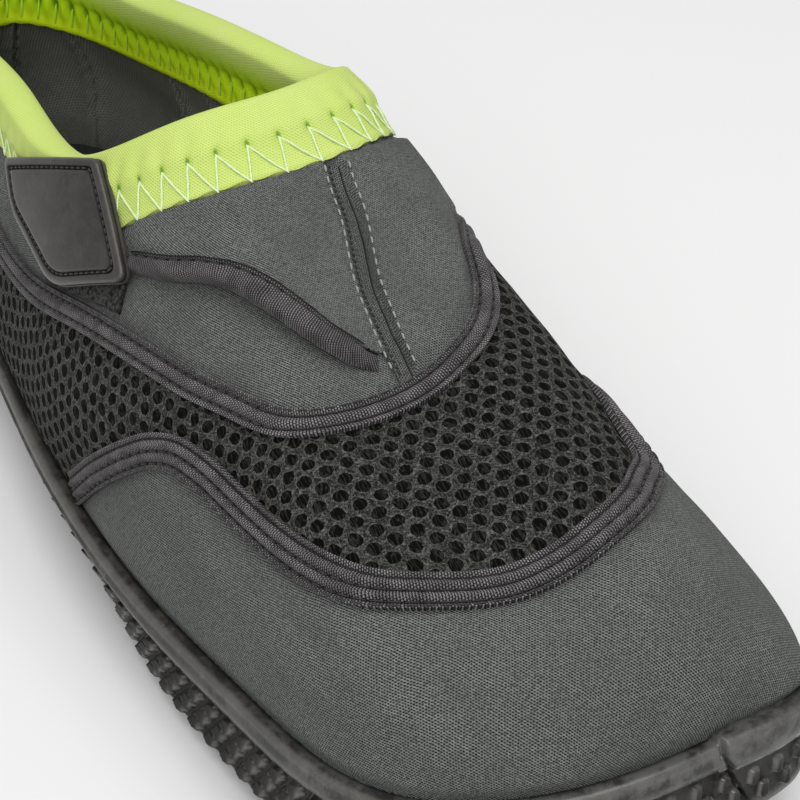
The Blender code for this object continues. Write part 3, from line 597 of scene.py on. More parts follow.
def sew(name, starts, ends, out, thickness, looks, slot, arch=0.25):
    """Stitches from starts to ends, bowed outwards by a share of the thickness, as one piece."""
    points, faces, uv = [], [], []
    size = len(STITCH_POINTS)
    x, y, z = STITCH_POINTS.T
    for start, end, up in zip(starts, ends, out):
        run = end - start
        length = np.linalg.norm(run)
        run = run / length
        up = up - run * (up @ run)
        up = up / np.linalg.norm(up)
        over = np.cross(up, run)
        bow = arch * thickness * (1.0 - (2.0 * x) ** 2)
        base = len(points) * size
        points.append(0.5 * (start + end) + np.outer(x * length, run) + np.outer(y * thickness, over)
                      + np.outer(z * thickness + bow, up))
        faces += [[base + k for k in face] for face in STITCH_FACES]
        uv.append(np.column_stack([x * length, np.arctan2(y, z) * thickness]))
    return add_piece(name, np.vstack(points), faces, np.vstack(uv), looks, turn=False)


def stitch_run(line, across, height, stitch, lift=None):
    """Starts, ends and outward directions of a row of stitches (pitch, length) on height(across, along)."""
    pitch, length = stitch
    at = np.arange(0.5 * pitch, line.reach[-1] - 0.5 * pitch, pitch)
    ends = []
    for shift in (-0.5 * length, 0.5 * length):
        u, v = line.walk(at + shift, across)
        rise = height(across, at) + (0.0 if lift is None else np.interp(at + shift, line.reach, lift))
        ends.append(LAST.at(u, v, rise + STITCH_LIFT))
    return ends[0], ends[1], LAST.normal(u, v)


# ---------------------------------------------------------------- shader maths

class Value:
    """A socket in an expression: an operator on it adds the Math node that works it out."""

    def __init__(self, look, socket):
        self.look = look
        self.socket = socket

    def math(self, operation, *others):
        return self.look.maths(operation, self, *others)

    def __add__(self, other):
        return self.math("ADD", other)

    __radd__ = __add__

    def __sub__(self, other):
        return self.math("SUBTRACT", other)

    def __rsub__(self, other):
        return self.look.maths("SUBTRACT", other, self)

    def __mul__(self, other):
        return self.math("MULTIPLY", other)

    __rmul__ = __mul__

    def __truediv__(self, other):
        return self.math("DIVIDE", other)

    def __pow__(self, other):
        return self.math("POWER", other)

    def __abs__(self):
        return self.math("ABSOLUTE")


class Look:
    """A material under construction; feed() ends it."""

    def __init__(self, name, roughness=0.8, sheen=0.0, specular=0.4):
        self.material = bpy.data.materials.new(name)
        self.material.use_nodes = True
        self.tree = self.material.node_tree
        self.shader = self.tree.nodes["Principled BSDF"]
        self.shader.inputs["Roughness"].default_value = roughness
        self.shader.inputs["Sheen Weight"].default_value = sheen
        self.shader.inputs["Sheen Roughness"].default_value = 0.5
        self.shader.inputs["Specular IOR Level"].default_value = specular

    def node(self, kind, settings=(), inputs=(), out=0):
        """A node of a kind: its settings first, then the values or links of its sockets."""
        made = self.tree.nodes.new(kind)
        for key, value in dict(settings).items():
            setattr(made, key, value)
        for key, value in dict(inputs).items():
            if isinstance(value, Value):
                self.tree.links.new(value.socket, made.inputs[key])
            else:
                made.inputs[key].default_value = value
        return Value(self, made.outputs[out])

    def maths(self, operation, *values):
        return self.node("ShaderNodeMath", {"operation": operation}, enumerate(values))

    def flat(self):
        """The piece's flat coordinates in millimetres."""
        place = self.node("ShaderNodeUVMap", {"uv_map": "UVMap"})
        x = self.node("ShaderNodeSeparateXYZ", (), {0: place}, 0)
        y = self.node("ShaderNodeSeparateXYZ", (), {0: place}, 1)
        return x * MILLIMETRES, y * MILLIMETRES

    def noise(self, scale, detail=2.0, rough=0.5, stretch=None):
        """Noise on object coordinates, scale in waves per metre."""
        place = self.node("ShaderNodeTexCoord", (), (), "Object")
        if stretch:
            place = self.node("ShaderNodeMapping", (), {"Vector": place, "Scale": stretch})
        inputs = {"Vector": place, "Scale": scale, "Detail": detail, "Roughness": rough}
        return self.node("ShaderNodeTexNoise", (), inputs, 0)

    def fibres(self, x, y, angle, thick, long):
        """Thin wavering threads in one direction over the flat coordinates, 1 along a thread."""
        c, s = math.cos(angle), math.sin(angle)
        place = {0: (x * c + y * s) / long, 1: (y * c - x * s) / thick}
        place = self.node("ShaderNodeCombineXYZ", (), place)
        wave = self.node("ShaderNodeTexNoise", (), {"Vector": place, "Scale": 1.0, "Detail": 1.0}, 0)
        return self.ramp(abs(wave - 0.5), 0.0, 0.075, 1.0, 0.0)

    def ramp(self, value, low, high, start=0.0, end=1.0):
        """Smooth step from start at low to end at high."""
        inputs = {"Value": value, "From Min": low, "From Max": high, "To Min": start, "To Max": end}
        return self.node("ShaderNodeMapRange", {"interpolation_type": "SMOOTHSTEP"}, inputs)

    def mix(self, share, first, second):
        """Colour between two colours."""
        first, second = (c if isinstance(c, Value) else (*c, 1.0) for c in (first, second))
        return self.node("ShaderNodeMix", {"data_type": "RGBA"}, {0: share, 6: first, 7: second}, 2)

    def shade_sewn_lines(self, base, y, lines, share, colour):
        """The colour, darker along lines across the flat coordinate y (place, half width in millimetres):
        painted shade in the stitched grooves and steps.
        """
        for place, half in lines:
            near = self.ramp(abs(y - place), 0.4 * half, 1.2 * half, share, 0.0)
            base = self.mix(near, base, colour)
        return base

    def bump(self, height, depth):
        """Relief of a height, drawn depth metres deep."""
        return self.node("ShaderNodeBump", (), {"Height": height, "Distance": depth, "Strength": 1.0})

    def feed(self, colour, roughness, normal=None, coat=None):
        """Ends the material: colour, roughness and, if they are given, relief and gloss coat."""
        feeds = (("Base Color", colour), ("Roughness", roughness), ("Normal", normal), ("Coat Weight", coat))
        for key, value in feeds:
            if value is not None:
                self.tree.links.new(value.socket, self.shader.inputs[key])
        return self.material


def part(value):
    """Distance of a value from the middle of its cell of width 1, from -0.5 to 0.5."""
    return value.math("FRACT") - 0.5


def shade(colour, factor):
    """The colour, lighter or darker by a factor."""
    return tuple(min(1.0, channel * factor) for channel in colour)


def loops(look, x, y, pitch, tall=0.85):
    """Loops of a knit: 1 on the yarn and 0 in its staggered slanting pits."""
    row = y / (pitch * tall)
    across = part(x / pitch + row.math("FLOOR") * 0.5)
    up = part(row)
    slant = across + up * 0.45
    off = (slant * slant * 1.3 + up * up * 0.75).math("SQRT")
    return look.ramp(off, 0.13, 0.45)


def knit_look(name, colour, pitch, contrast=0.98, lines=()):
    """Knitted face: loops at a pitch in millimetres with dark pits, fuzz, clouds, and painted shade along the
    lines where it is stitched.
    """
    look = Look(name, 0.88, 0.03, 0.1)
    x, y = look.flat()
    x = x + look.noise(90.0, 2.0) * 1.2
    y = y + look.noise(70.0, 2.0) * 1.0
    yarn = loops(look, x, y, pitch)
    cloudy = look.ramp(look.noise(130.0, 3.0, 0.6, (1.0, 0.4, 1.0)), 0.35, 0.65)
    fuzz = look.noise(2300.0, 2.0, 0.75)
    level = yarn * (0.12 + 1.22 * look.ramp(fuzz, 0.10, 0.90))
    base = look.mix(level, shade(colour, 1.0 - contrast), shade(colour, 1.0 + 1.5 * contrast))
    base = look.mix(cloudy * 0.25, base, shade(colour, 0.60))
    base = look.shade_sewn_lines(base, y, lines, 0.9, shade(colour, 0.12))
    return look.feed(base, look.ramp(fuzz, 0.2, 0.8, 0.78, 0.95), look.bump(yarn + 0.35 * fuzz, 0.00018))


def mesh_look(cloth):
    """Spacer mesh: fine filaments twisted round staggered oval holes, with cross threads behind; the holes are
    painted nearly black as shade, and pale rims and glints on the filaments are painted highlights.
    """
    look = Look("spacer_mesh_black", 0.7, 0.0, 0.06)
    x, y = look.flat()
    x = x + look.noise(130.0, 2.0) * 1.1
    y = y + look.noise(150.0, 2.0, 0.5, (1.0, 1.3, 0.8)) * 1.1
    pitch = cloth.hole_pitch * MILLIMETRES
    tall = pitch * 1.62
    far = []
    for shift in (0.0, 0.5):
        across = part(x / pitch + shift) * pitch
        up = part(y / tall + shift) * tall * 0.92
        far.append((across * across + up * up).math("SQRT"))
    fibre = look.noise(1700.0, 3.0, 0.8)
    off = far[0].math("MINIMUM", far[1]) + (look.noise(700.0, 2.0, 0.65) - 0.5) * 0.85
    strand = look.ramp(off, 0.96, 1.12)
    # A pale rim round each hole, a painted highlight, and filaments that cross between the holes and behind
    # them
    rim = look.ramp(off, 1.00, 1.14) * look.ramp(off, 1.18, 1.40, 1.0, 0.0)
    threads = [look.fibres(x, y, angle, 0.42, 2.6) for angle in (0.35, 1.35, 2.45)]
    thread = threads[0].math("MAXIMUM", threads[1]).math("MAXIMUM", threads[2])
    fibre_glint = look.ramp(fibre, 0.34, 0.62)
    level = rim * (0.05 + 0.45 * fibre_glint) + thread * (0.15 + 0.70 * fibre_glint) + 0.05 * fibre_glint
    # Painted shade in the holes: nearly black, with the cross threads behind them only dimly lit
    behind = look.fibres(x, y, 1.5, 0.7, 3.5) * (0.3 + 0.7 * fibre_glint)
    hole_shade = look.mix(behind * 0.7, (0.0025, 0.0025, 0.002), (0.034, 0.034, 0.030))
    lit = look.mix(level, shade(cloth.mesh_colour, 0.09), shade(cloth.mesh_colour, 4.1))
    height = strand * 1.5 + strand * level * 0.8 + look.ramp(off, 0.95, 1.7) * 0.5
    rough = look.ramp(strand, 0.0, 1.0, 0.98, 0.65)
    return look.feed(look.mix(strand, hole_shade, lit), rough, look.bump(height, 0.00045))


def weave_look(name, colour, pitch=0.5, lines=()):
    """Woven tape: light floats over dark gaps, and painted shade along the stitched grooves."""
    look = Look(name, 0.6, 0.0, 0.15)
    x, y = look.flat()
    fibre = look.noise(2600.0, 2.0, 0.7)
    across = x + look.noise(200.0, 1.0) * 0.8 + fibre * 0.12
    rib = abs(part(across / pitch + y / (pitch * 5.0))) * 2.0
    row = abs(part(y / (pitch * 0.85) + (across / pitch).math("FLOOR") * 0.5)) * 2.0
    yarn = look.ramp(rib, 0.30, 0.95, 1.0, 0.0) * look.ramp(row, 0.35, 1.0, 1.0, 0.12)
    cloudy = look.ramp(look.noise(260.0, 2.0), 0.32, 0.68)
    level = yarn * (0.30 + 0.9 * fibre) * (0.65 + 0.5 * cloudy)
    base = look.mix(level, shade(colour, 0.08), shade(colour, 4.2))
    base = look.shade_sewn_lines(base, y, lines, 0.85, shade(colour, 0.16))
    return look.feed(base, look.ramp(fibre, 0.2, 0.8, 0.5, 0.8), look.bump(yarn + 0.4 * fibre, 0.00020))


def collar_look(cloth, pitch):
    """Stretch band: fine knit, a row of needle holes over its outer edge and one on its inner leg, painted dark
    as shade with a halo of painted shade round each; the inner leg is painted a brighter, deeper green than the
    band, as bounce light inside the shoe.
    """
    look = Look("stretch_band_lime", 0.72, 0.0, 0.2)
    x, y = look.flat()
    lime = cloth.lime_colour
    yarn = loops(look, x + y * 0.35, y - x * 0.2, 0.47)
    fuzz = look.noise(2600.0, 2.0, 0.6)
    cloudy = look.ramp(look.noise(110.0, 2.0), 0.3, 0.7)
    base = look.mix(yarn * (0.6 + 0.7 * fuzz), shade(lime, 0.84), shade(lime, 1.05))
    base = look.mix(cloudy * 0.18, base, (lime[0] * 0.84, lime[1] * 0.94, lime[2] * 0.4))
    # Painted bounce light: the inner leg, inside the shoe, is brighter and more saturated than the band's own
    # lime, and lighter towards its cut edge
    inner = look.mix(look.ramp(y, 9.0, 14.6), (0.54, 0.84, 0.010), (0.85, 0.95, 0.015))
    inner = look.mix(yarn * fuzz, (0.56, 0.82, 0.010), inner)
    base = look.mix(look.ramp(y, 3.0, 8.0), base, inner)
    beat = part(x / pitch + 0.5) * pitch
    dimple_shade = (lime[0] * 0.55, lime[1] * 0.72, 0.015)
    # Each needle hole is painted dark as shade, in a halo of painted shade where its stitch draws the cloth
    # into a dimple
    for place, wide, dark in ((-9.4, 1.0, 0.9), (10.0, 2.2, 0.75)):
        off = ((beat / (0.38 * wide)) ** 2.0 + ((y - place) / (0.72 * wide)) ** 2.0).math("SQRT")
        base = look.mix(look.ramp(off, 0.35, 1.3, dark, 0.0), base, (0.045, 0.16, 0.006))
        halo = (beat ** 2.0 + ((y - place + 0.5) / (1.5 * wide)) ** 2.0).math("SQRT")
        base = look.mix(look.ramp(halo, 0.2, 1.5, 0.32, 0.0), base, dimple_shade)
    # The cut edges are a little brown
    edge = look.ramp(abs(y), 14.2, 15.0, 0.0, 0.5)
    base = look.mix(edge * fuzz, base, (0.20, 0.17, 0.010))
    return look.feed(base, look.ramp(fuzz, 0.2, 0.8, 0.68, 0.82), look.bump(yarn + 0.3 * fuzz, 0.00007))


def thread_look(name, colour):
    """Twisted sewing thread."""
    look = Look(name, 0.6, 0.1)
    x, y = look.flat()
    twist = ((x / 0.28 + y / 0.9) * (2.0 * math.pi)).math("SINE") * 0.5 + 0.5
    fuzz = look.noise(4000.0, 2.0)
    base = look.mix(twist * 0.7 + fuzz * 0.3, shade(colour, 0.6), shade(colour, 1.15))
    return look.feed(base, look.ramp(fuzz, 0.2, 0.8, 0.5, 0.75), look.bump(twist, 0.00004))


def rubber_look(name, colour, rubbed=True, gloss=0.34, mottle=1.0):
    """Moulded rubber: fine grain, dull smudges, a few pale specks; painted shade makes hollows and knob faces
    dark, and edges are painted pale, partly as wear and partly as painted highlight.
    """
    look = Look(name, gloss, 0.0, 0.12 if rubbed else 0.42)
    grain = look.noise(2200.0, 3.0, 0.65)
    smudge = look.ramp(look.noise(140.0, 5.0, 0.68), 0.42, 0.62)
    scuff = look.ramp(look.noise(420.0, 3.0, 0.7, (1.0, 0.4, 1.0)), 0.50, 0.72)
    base = look.mix(grain * 0.40 + smudge * 0.75 * mottle, shade(colour, 0.30), shade(colour, 3.0))
    base = look.mix(scuff * 0.45 * mottle, base, shade(colour, 4.4))
    # Paler towards the toe: a painted reflection of the lamps on the front of the lip, broken up by pale scuffs
    place = look.node("ShaderNodeTexCoord", (), (), "Object")
    along = look.node("ShaderNodeSeparateXYZ", (), {0: place}, 1)
    toe_sheen_and_scuffs = look.ramp(along, -0.125, -0.060, 0.75, 0.0) * mottle
    base = look.mix(toe_sheen_and_scuffs * (0.10 + 0.90 * smudge), base, (0.098, 0.098, 0.095))
    speck = look.ramp(look.noise(1100.0, 0.0), 0.80, 0.84)
    base = look.mix(speck * 0.35 * mottle, base, (0.14, 0.13, 0.12))
    coat = None
    if rubbed:
        edge = look.node("ShaderNodeAttribute", {"attribute_name": "relief"}, (), 2)
        # Painted shade where the relief mark is low (hollows, knob faces, the groove under the lip's ridge),
        # and a painted highlight with some wear where it is high (the lip's rounded edge, its ridge, the knobs'
        # rims)
        base = look.mix(look.ramp(edge, 0.05, 0.45, 0.92, 0.0), base, shade(colour, 0.12))
        base = look.mix(look.ramp(edge, 0.45, 1.0) * (0.30 + 0.70 * grain), base, shade(colour, 6.5))
        coat = look.ramp(edge, 0.25, 0.60, 0.0, 0.9)
        look.shader.inputs["Coat Roughness"].default_value = 0.25
    rough = gloss + grain * 0.14 + smudge * 0.16 * mottle + scuff * 0.08 * mottle
    return look.feed(base, rough, look.bump(grain + 0.5 * scuff, 0.00007), coat)


def pile_look():
    """Loop pile: tangled fine loops, nearly black."""
    look = Look("loop_pile_black", 0.95, 0.06, 0.05)
    curl = look.noise(1500.0, 4.0, 0.75)
    place = look.node("ShaderNodeTexCoord", (), (), "Object")
    knots = look.node("ShaderNodeTexVoronoi", {"feature": "F1"}, {"Vector": place, "Scale": 1300.0}, 0)
    height = curl - knots * 0.8
    base = look.mix(look.ramp(height, -0.25, 0.5), (0.003, 0.003, 0.003), (0.075, 0.073, 0.068))
    return look.feed(base, look.ramp(curl, 0.3, 0.7, 0.85, 1.0), look.bump(height, 0.00045))


# ---------------------------------------------------------------- sizes and colours that a user may change

def tint(name, text, default):
    return FloatVectorProperty(name=name, description=text, subtype="COLOR", size=3, min=0.0, max=1.0,
                               default=default)


def size(name, text, default):
    return FloatProperty(name=name, description=text, default=default, min=0.0, unit="LENGTH", precision=5)


def angle(name, text, degrees):
    return FloatProperty(name=name, description=text, default=math.radians(degrees), subtype="ANGLE")


class ShoeClothSettings(bpy.types.PropertyGroup):
    knit_pitch: size("Knit pitch", "Distance between the loops of the neoprene's face", 0.00046)
    hole_pitch: size("Hole pitch", "Distance between the holes of the spacer mesh", 0.0034)
    zigzag_pitch: size("Zigzag pitch", "Distance between the needle holes of the collar's stitches", 0.0046)
    neoprene_colour: tint("Neoprene", "Face of the neoprene panels", (0.082, 0.086, 0.082))
    mesh_colour: tint("Mesh", "Strands of the spacer mesh", (0.040, 0.040, 0.036))
    lime_colour: tint("Collar", "Stretch band of the collar", (0.52, 0.635, 0.175))
    tape_colour: tint("Tape", "Woven tapes", (0.078, 0.073, 0.074))
    # Painted light: the lining is lighter than the dark knit itself, standing in for light inside the shoe
    lining_colour: tint("Lining", "Knit inside the shoe", (0.190, 0.193, 0.170))
    thread_colour: tint("Zigzag thread", "Thread of the collar's stitches", (0.76, 0.96, 0.52))
    seam_colour: tint("Seam thread", "Thread of the instep's seam", (0.34, 0.34, 0.33))


class ShoeRubberSettings(bpy.types.PropertyGroup):
    knob_pitch: size("Knob pitch", "Distance between the knobs of one row", 0.0054)
    knob_height: size("Knob height", "How far the knobs stand off the wall", 0.0012)
    joint_step: size("Joint step", "How far the overlap near the toe stands proud", 0.0008)
    rubber_colour: tint("Sole rubber", "Moulded rubber of the sole", (0.018, 0.017, 0.015))
    tab_colour: tint("Tab rubber", "Moulded rubber of the strap tab", (0.025, 0.0222, 0.0190))


class ShoeStageSettings(bpy.types.PropertyGroup):
    azimuth: angle("Azimuth", "Camera's angle round the shoe", -32.61)
    elevation: angle("Elevation", "Camera's angle over the horizon", 35.94)
    roll: angle("Roll", "Camera's turn about its line of sight", 2.66)
    distance: size("Distance", "From the camera to the point that it looks at", 0.45)
    lens: FloatProperty(name="Focal length", description="In millimetres, on a sensor 36 mm wide",
                        default=109.683)
    floor_colour: tint("Floor", "Plain pale floor", (0.735, 0.735, 0.735))


# ---------------------------------------------------------------- the sole

def even_outline(count, close=0):
    """Even steps round the outline, with more of them close to the joint and opposite it."""
    u = np.linspace(0.0, 1.0, 8001)
    reach = reach_along(LAST.outline.at(u))
    want = np.linspace(0.0, reach[-1], count + 1)
    if close:
        joint = np.interp(JOINT, u, reach) + np.linspace(-0.0030, 0.0110, close)
        want = np.sort(np.concatenate([want, joint, reach[-1] - joint]))
    return np.interp(want, reach, u), want


def knob_field(reach, part_down, share, girth, pitch):
    """Height of the moulded knobs, 0 to 1: slanted leaves in staggered rows, upright pills round the toe."""
    count = round(girth / pitch)
    place = reach / girth * count
    rows = part_down * KNOB_ROWS
    best = np.zeros_like(place)
    for row in range(KNOB_ROWS):
        up = rows - row - 0.5
        x = place + 0.5 * (row % 2) + 0.10 * up
        x = x - np.round(x)
        leaf = np.abs(x) / 0.44 + np.abs(up) / 0.92
        best = np.maximum(best, (1.0 - ease(leaf, 0.78, 0.97)) * (0.88 - 0.8 * x - 0.12 * up))
    pills = np.zeros_like(place)
    for row in range(2):
        up = (part_down - 0.30 - 0.46 * row) * 2.6
        x = place + 0.5 * row
        x = x - np.round(x)
        capsule = np.hypot(x / 0.26, np.clip(np.abs(up) - 0.30, 0.0, None) / 0.26)
        pills = np.maximum(pills, (1.0 - ease(capsule, 0.35, 1.05)) * (0.9 + 0.2 * up))
    toe = ease(share, 0.935, 0.960)
    return (1.0 - toe) * best + toe * pills


def build_sole(rubber):
    """The shell: rings from the bed over the lip and down the wall with its knobs to the tread."""
    u, reach = even_outline(SHELL_STEPS, JOINT_STEPS)
    columns = len(u) - 1
    share = share_along(LAST.outline.at(u)[:, 1])
    narrow = waist(share)
    top, tread = lip_top(share), floor_rise(share) + LUG_DEPTH
    band_foot = top - LIP_BAND - (WAIST_BAND - LIP_BAND) * narrow
    foot = tread + FOOT_BEVEL + TOE_BEVEL * ease(share, TOE_SPRING_START, 1.0)
    # Overlap of the rubber near the toe: proud past the joint, with a crease before it, leaning with the wall
    beyond = reach - np.interp(JOINT, u, reach)
    overlap = ease(beyond, -0.0002, 0.0004) * (1.0 - ease(beyond, 0.020, 0.045))
    top = top + 0.0014 * overlap
    ridge = RIDGE_DEPTH * (1.0 - 0.85 * overlap)
    rings, relief = [], []

    def ring(depth, height, mark=0.4, lean=0.0, joint=1.0):
        """A ring of the shell, inside the outline by a depth; lean is how far down the wall it lies; mark is
        its relief mark: painted shade when low, painted highlight with some wear when high.
        """
        past = beyond - lean * WALL_LEAN
        step = rubber.joint_step * ease(past, -0.0002, 0.0003) * (1.0 - ease(past, 0.004, 0.030))
        crease = 0.0010 * dip(past, -0.0003, 0.00035)
        depth = depth - joint * (step - crease)
        rings.append(np.column_stack([base - depth[:, None] * outward, height]))
        relief.append(np.broadcast_to(mark, u.shape))

    one = np.ones_like(u)
    base, outward = LAST.outline.at(u), LAST.outward(u)
    ring(cup(share), bed_top(share), joint=0.0)
    for rounds in (1.2, 0.25):
        ring((RUBBER_WALL + LIP_GAP) * one, top - rounds * LIP_ROUND, joint=0.0)
    ring(0.0022 * one, top + 0.00010, 0.5)
    for angle in np.linspace(90.0, 0.0, 7):
        # Flat top, rounded outer edge, then a lip face that swells a little
        c, s = math.cos(math.radians(angle)), math.sin(math.radians(angle))
        # A painted highlight along the rounded outer edge
        mark = 0.45 + 0.40 * dip(angle, 45.0, 30.0)
        ring(LIP_CORNER * (1.0 - c) * one, top - LIP_CORNER * (1.0 - s), mark, 0.1)
    for down in np.linspace(0.16, 1.0, 8):
        swell = 0.00045 * math.sin(math.pi * down)
        height = (top - LIP_CORNER) * (1.0 - down) + (band_foot + ridge) * down
        ring(-swell * one, height, 0.45 + 0.35 * dip(down, 1.0, 0.06), 0.5 * down)
    # A painted highlight on the lip's face just above the ridge and on the ridge, then painted shade in the
    # groove below it
    ring(0.25 * ridge, band_foot + 0.4 * ridge, 0.8, 0.5)
    ring(ridge, band_foot, 0.15, 0.5)
    inset = KNOB_INSET * (1.0 - 0.5 * overlap)
    ring(inset, band_foot - 0.4 * ridge, 0.1, 0.5)
    for down in np.linspace(0.0, 1.0, 36):
        field = knob_field(reach, np.full_like(u, down), share, reach[-1], rubber.knob_pitch)
        if 0.0 < down < 1.0:
            # Painted shade on the knobs' faces and between them, and a painted highlight with some wear along
            # their rims
            edge = 0.22 - 0.06 * field + 0.80 * dip(field, 0.50, 0.24)
        else:
            field, edge = 0.0 * field, 0.3 + 0.0 * field
        depth = inset + WAIST_UNDERCUT * narrow * down - rubber.knob_height * field
        height = (1.0 - down) * (band_foot - RIDGE_DEPTH) + down * foot
        ring(depth, height, edge, 0.5 + 0.9 * down)
    for turn in np.linspace(0.25, 1.0, 4):
        bevel = FOOT_BEVEL * (1.0 - math.cos(0.5 * math.pi * turn))
        ring(inset + bevel + WAIST_UNDERCUT * narrow,
             foot + (tread - foot) * math.sin(0.5 * math.pi * turn), 0.4, 1.4)
    rings, relief = np.stack(rings), np.stack(relief)
    count = len(rings)
    uv = np.stack([np.broadcast_to(reach, (count, columns + 1)),
                   np.broadcast_to(np.arange(count)[:, None] * 0.0005, (count, columns + 1))], -1)
    faces = grid_faces(count, columns + 1)
    faces += cap_faces(0, columns, 1) + cap_faces((count - 1) * (columns + 1), columns, -1)
    look = rubber_look("sole_rubber_charcoal", rubber.rubber_colour)
    add_piece("sole_shell", rings.reshape(-1, 3), faces, uv.reshape(-1, 2), [look], ("outsole",),
              relief=relief.ravel(), sharp=75.0)


def build_tread(rubber):
    """Cross bars of the tread: one bevelled bar, copied and drawn out to the inset outline."""
    bpy.ops.object.select_all(action="DESELECT")
    bpy.ops.mesh.primitive_cube_add(size=1.0, location=(0.0, 0.0, 0.0))
    form = bpy.context.object
    bpy.ops.object.mode_set(mode="EDIT")
    bpy.ops.mesh.select_all(action="SELECT")
    bpy.ops.mesh.bevel(offset=0.09, segments=3, affect="EDGES")
    bpy.ops.object.mode_set(mode="OBJECT")
    shape, shape_faces = taken(form)
    u = np.linspace(0.0, 1.0, 1201)[:-1]
    edge = LAST.inset(u, lambda share: LUG_INSET + WAIST_UNDERCUT * waist(share), floor_rise)
    sides = [edge[edge[:, 0] < 0.0], edge[edge[:, 0] >= 0.0]]
    sides = [side[np.argsort(side[:, 1])] for side in sides]
    points, faces, uv = [], [], []
    for start in LUG_BARS:
        share = start + LUG_LENGTH * (0.5 - shape[:, 1])
        y = (0.5 - share) * LENGTH
        left, right = (np.interp(y, side[:, 1], side[:, 0]) for side in sides)
        ends = np.sign(shape[:, 0]) * (0.5 - np.abs(shape[:, 0]))
        x = np.where(shape[:, 0] < 0.0, left, right) - ends * BAR_INSET
        low = floor_rise(share)
        z = low + (LUG_DEPTH + LUG_ROOT) * (shape[:, 2] + 0.5)
        base = len(points) * len(shape)
        points.append(np.column_stack([x, y, z]))
        uv.append(np.column_stack([x, y]))
        faces += [[base + k for k in face] for face in shape_faces]
    look = rubber_look("tread_rubber_charcoal", rubber.rubber_colour, rubbed=False, gloss=0.6)
    add_piece("tread_lugs", np.vstack(points), faces, np.vstack(uv), [look])


def build_insole():
    """The pad: a rounded rim and a top that dishes towards the middle."""
    u = even_outline(PAD_STEPS)[0][:-1]
    rings = []
    profile = [(0.0, 0.0), (0.0, 0.45)]
    profile += [(0.0016 * (1 - math.cos(a)), 0.45 + 0.5 * math.sin(a)) for a in np.linspace(0.2, 1.5, 6)]
    for inset, part_up in profile:
        rings.append(LAST.inset(
            u, lambda share: cup(share, GAP + WALL + 0.0006 + inset),
            lambda share: bed_top(share) + GAP + part_up * INSOLE_THICKNESS))
    rim = rings[-1]
    for step in (0.12, 0.28, 0.46, 0.64, 0.82, 0.97):
        ring = rim - rim * np.array([step, 0.0, 0.0])
        ring[:, 2] -= 0.0006 * ease(step, 0.0, 0.6)
        rings.append(ring)
    rings = np.stack(rings)
    count, columns = rings.shape[:2]
    closed = np.concatenate([rings, rings[:, :1]], 1)
    uv = closed[..., :2].reshape(-1, 2)
    faces = grid_faces(count, columns + 1)
    faces += cap_faces(0, columns, 1) + cap_faces((count - 1) * (columns + 1), columns, -1)
    look = knit_look("insole_knit_dark", (0.036, 0.036, 0.038), 0.7, 0.45)
    pad = add_piece("insole_pad", closed.reshape(-1, 3), faces, uv, [look], ("insole",))


# ---------------------------------------------------------------- the cloth upper

def cloth_height(u, v, points):
    """How far the outer face stands off the last: drawn in along the tapes, puffed between them."""
    toe, toe_along = TOE_LINE.measure(points)
    throat, throat_along = THROAT_LINE.measure(points)
    seam, _ = SEAM_LINE.measure(points)
    height = np.zeros(len(points))
    for off, along, half in ((toe, toe_along, 0.5 * TOE_TAPE), (throat, throat_along, 0.5 * THROAT_TAPE)):
        height -= 0.00045 * dip(np.abs(off), half, 0.0011)
        height += 0.00055 * ease(np.abs(off), half + 0.001, half + 0.011)
        # Little puckers where the stitches draw the cloth in
        pull = ease(np.abs(off), half, half + 0.001) * (1.0 - ease(np.abs(off), half + 0.002, half + 0.007))
        height += 0.00012 * pull * np.sin(along / PUCKER_PITCH * 2.0 * math.pi + 1.3 * np.sin(along / 0.017))
    under_band, _ = EDGE_LINE.measure(points)
    free = ease(np.abs(under_band), 0.0150, 0.0172)
    inner = (throat > 0.5 * THROAT_TAPE) & (seam > 0.0)
    panel = ease(seam, 0.5 * SEAM_STRIP - 0.0001, 0.5 * SEAM_STRIP + 0.0006) * (1.0 - ease(seam, 0.020, 0.042))
    panel = panel * ease(throat, 0.5 * THROAT_TAPE, 0.5 * THROAT_TAPE + 0.003)
    height += np.where(inner, 0.0013 * free * panel, 0.0)
    for u0, v0, wide, tall, rise in CREASES:
        height += rise * dip(u, u0, wide) * dip(v, v0, tall)
    kind = np.where(throat > 0.0, 0, np.where((toe < 0.0) & (u > 0.24) & (u < 0.72), 0, 1))
    # Flat under the collar's band and where the seam strip lies
    beside = ease(np.abs(seam), 0.5 * SEAM_STRIP + 0.0001, 0.5 * SEAM_STRIP + 0.0008)
    return height * (0.25 + 0.75 * free) * np.where(throat > 0.0, beside, 1.0), kind


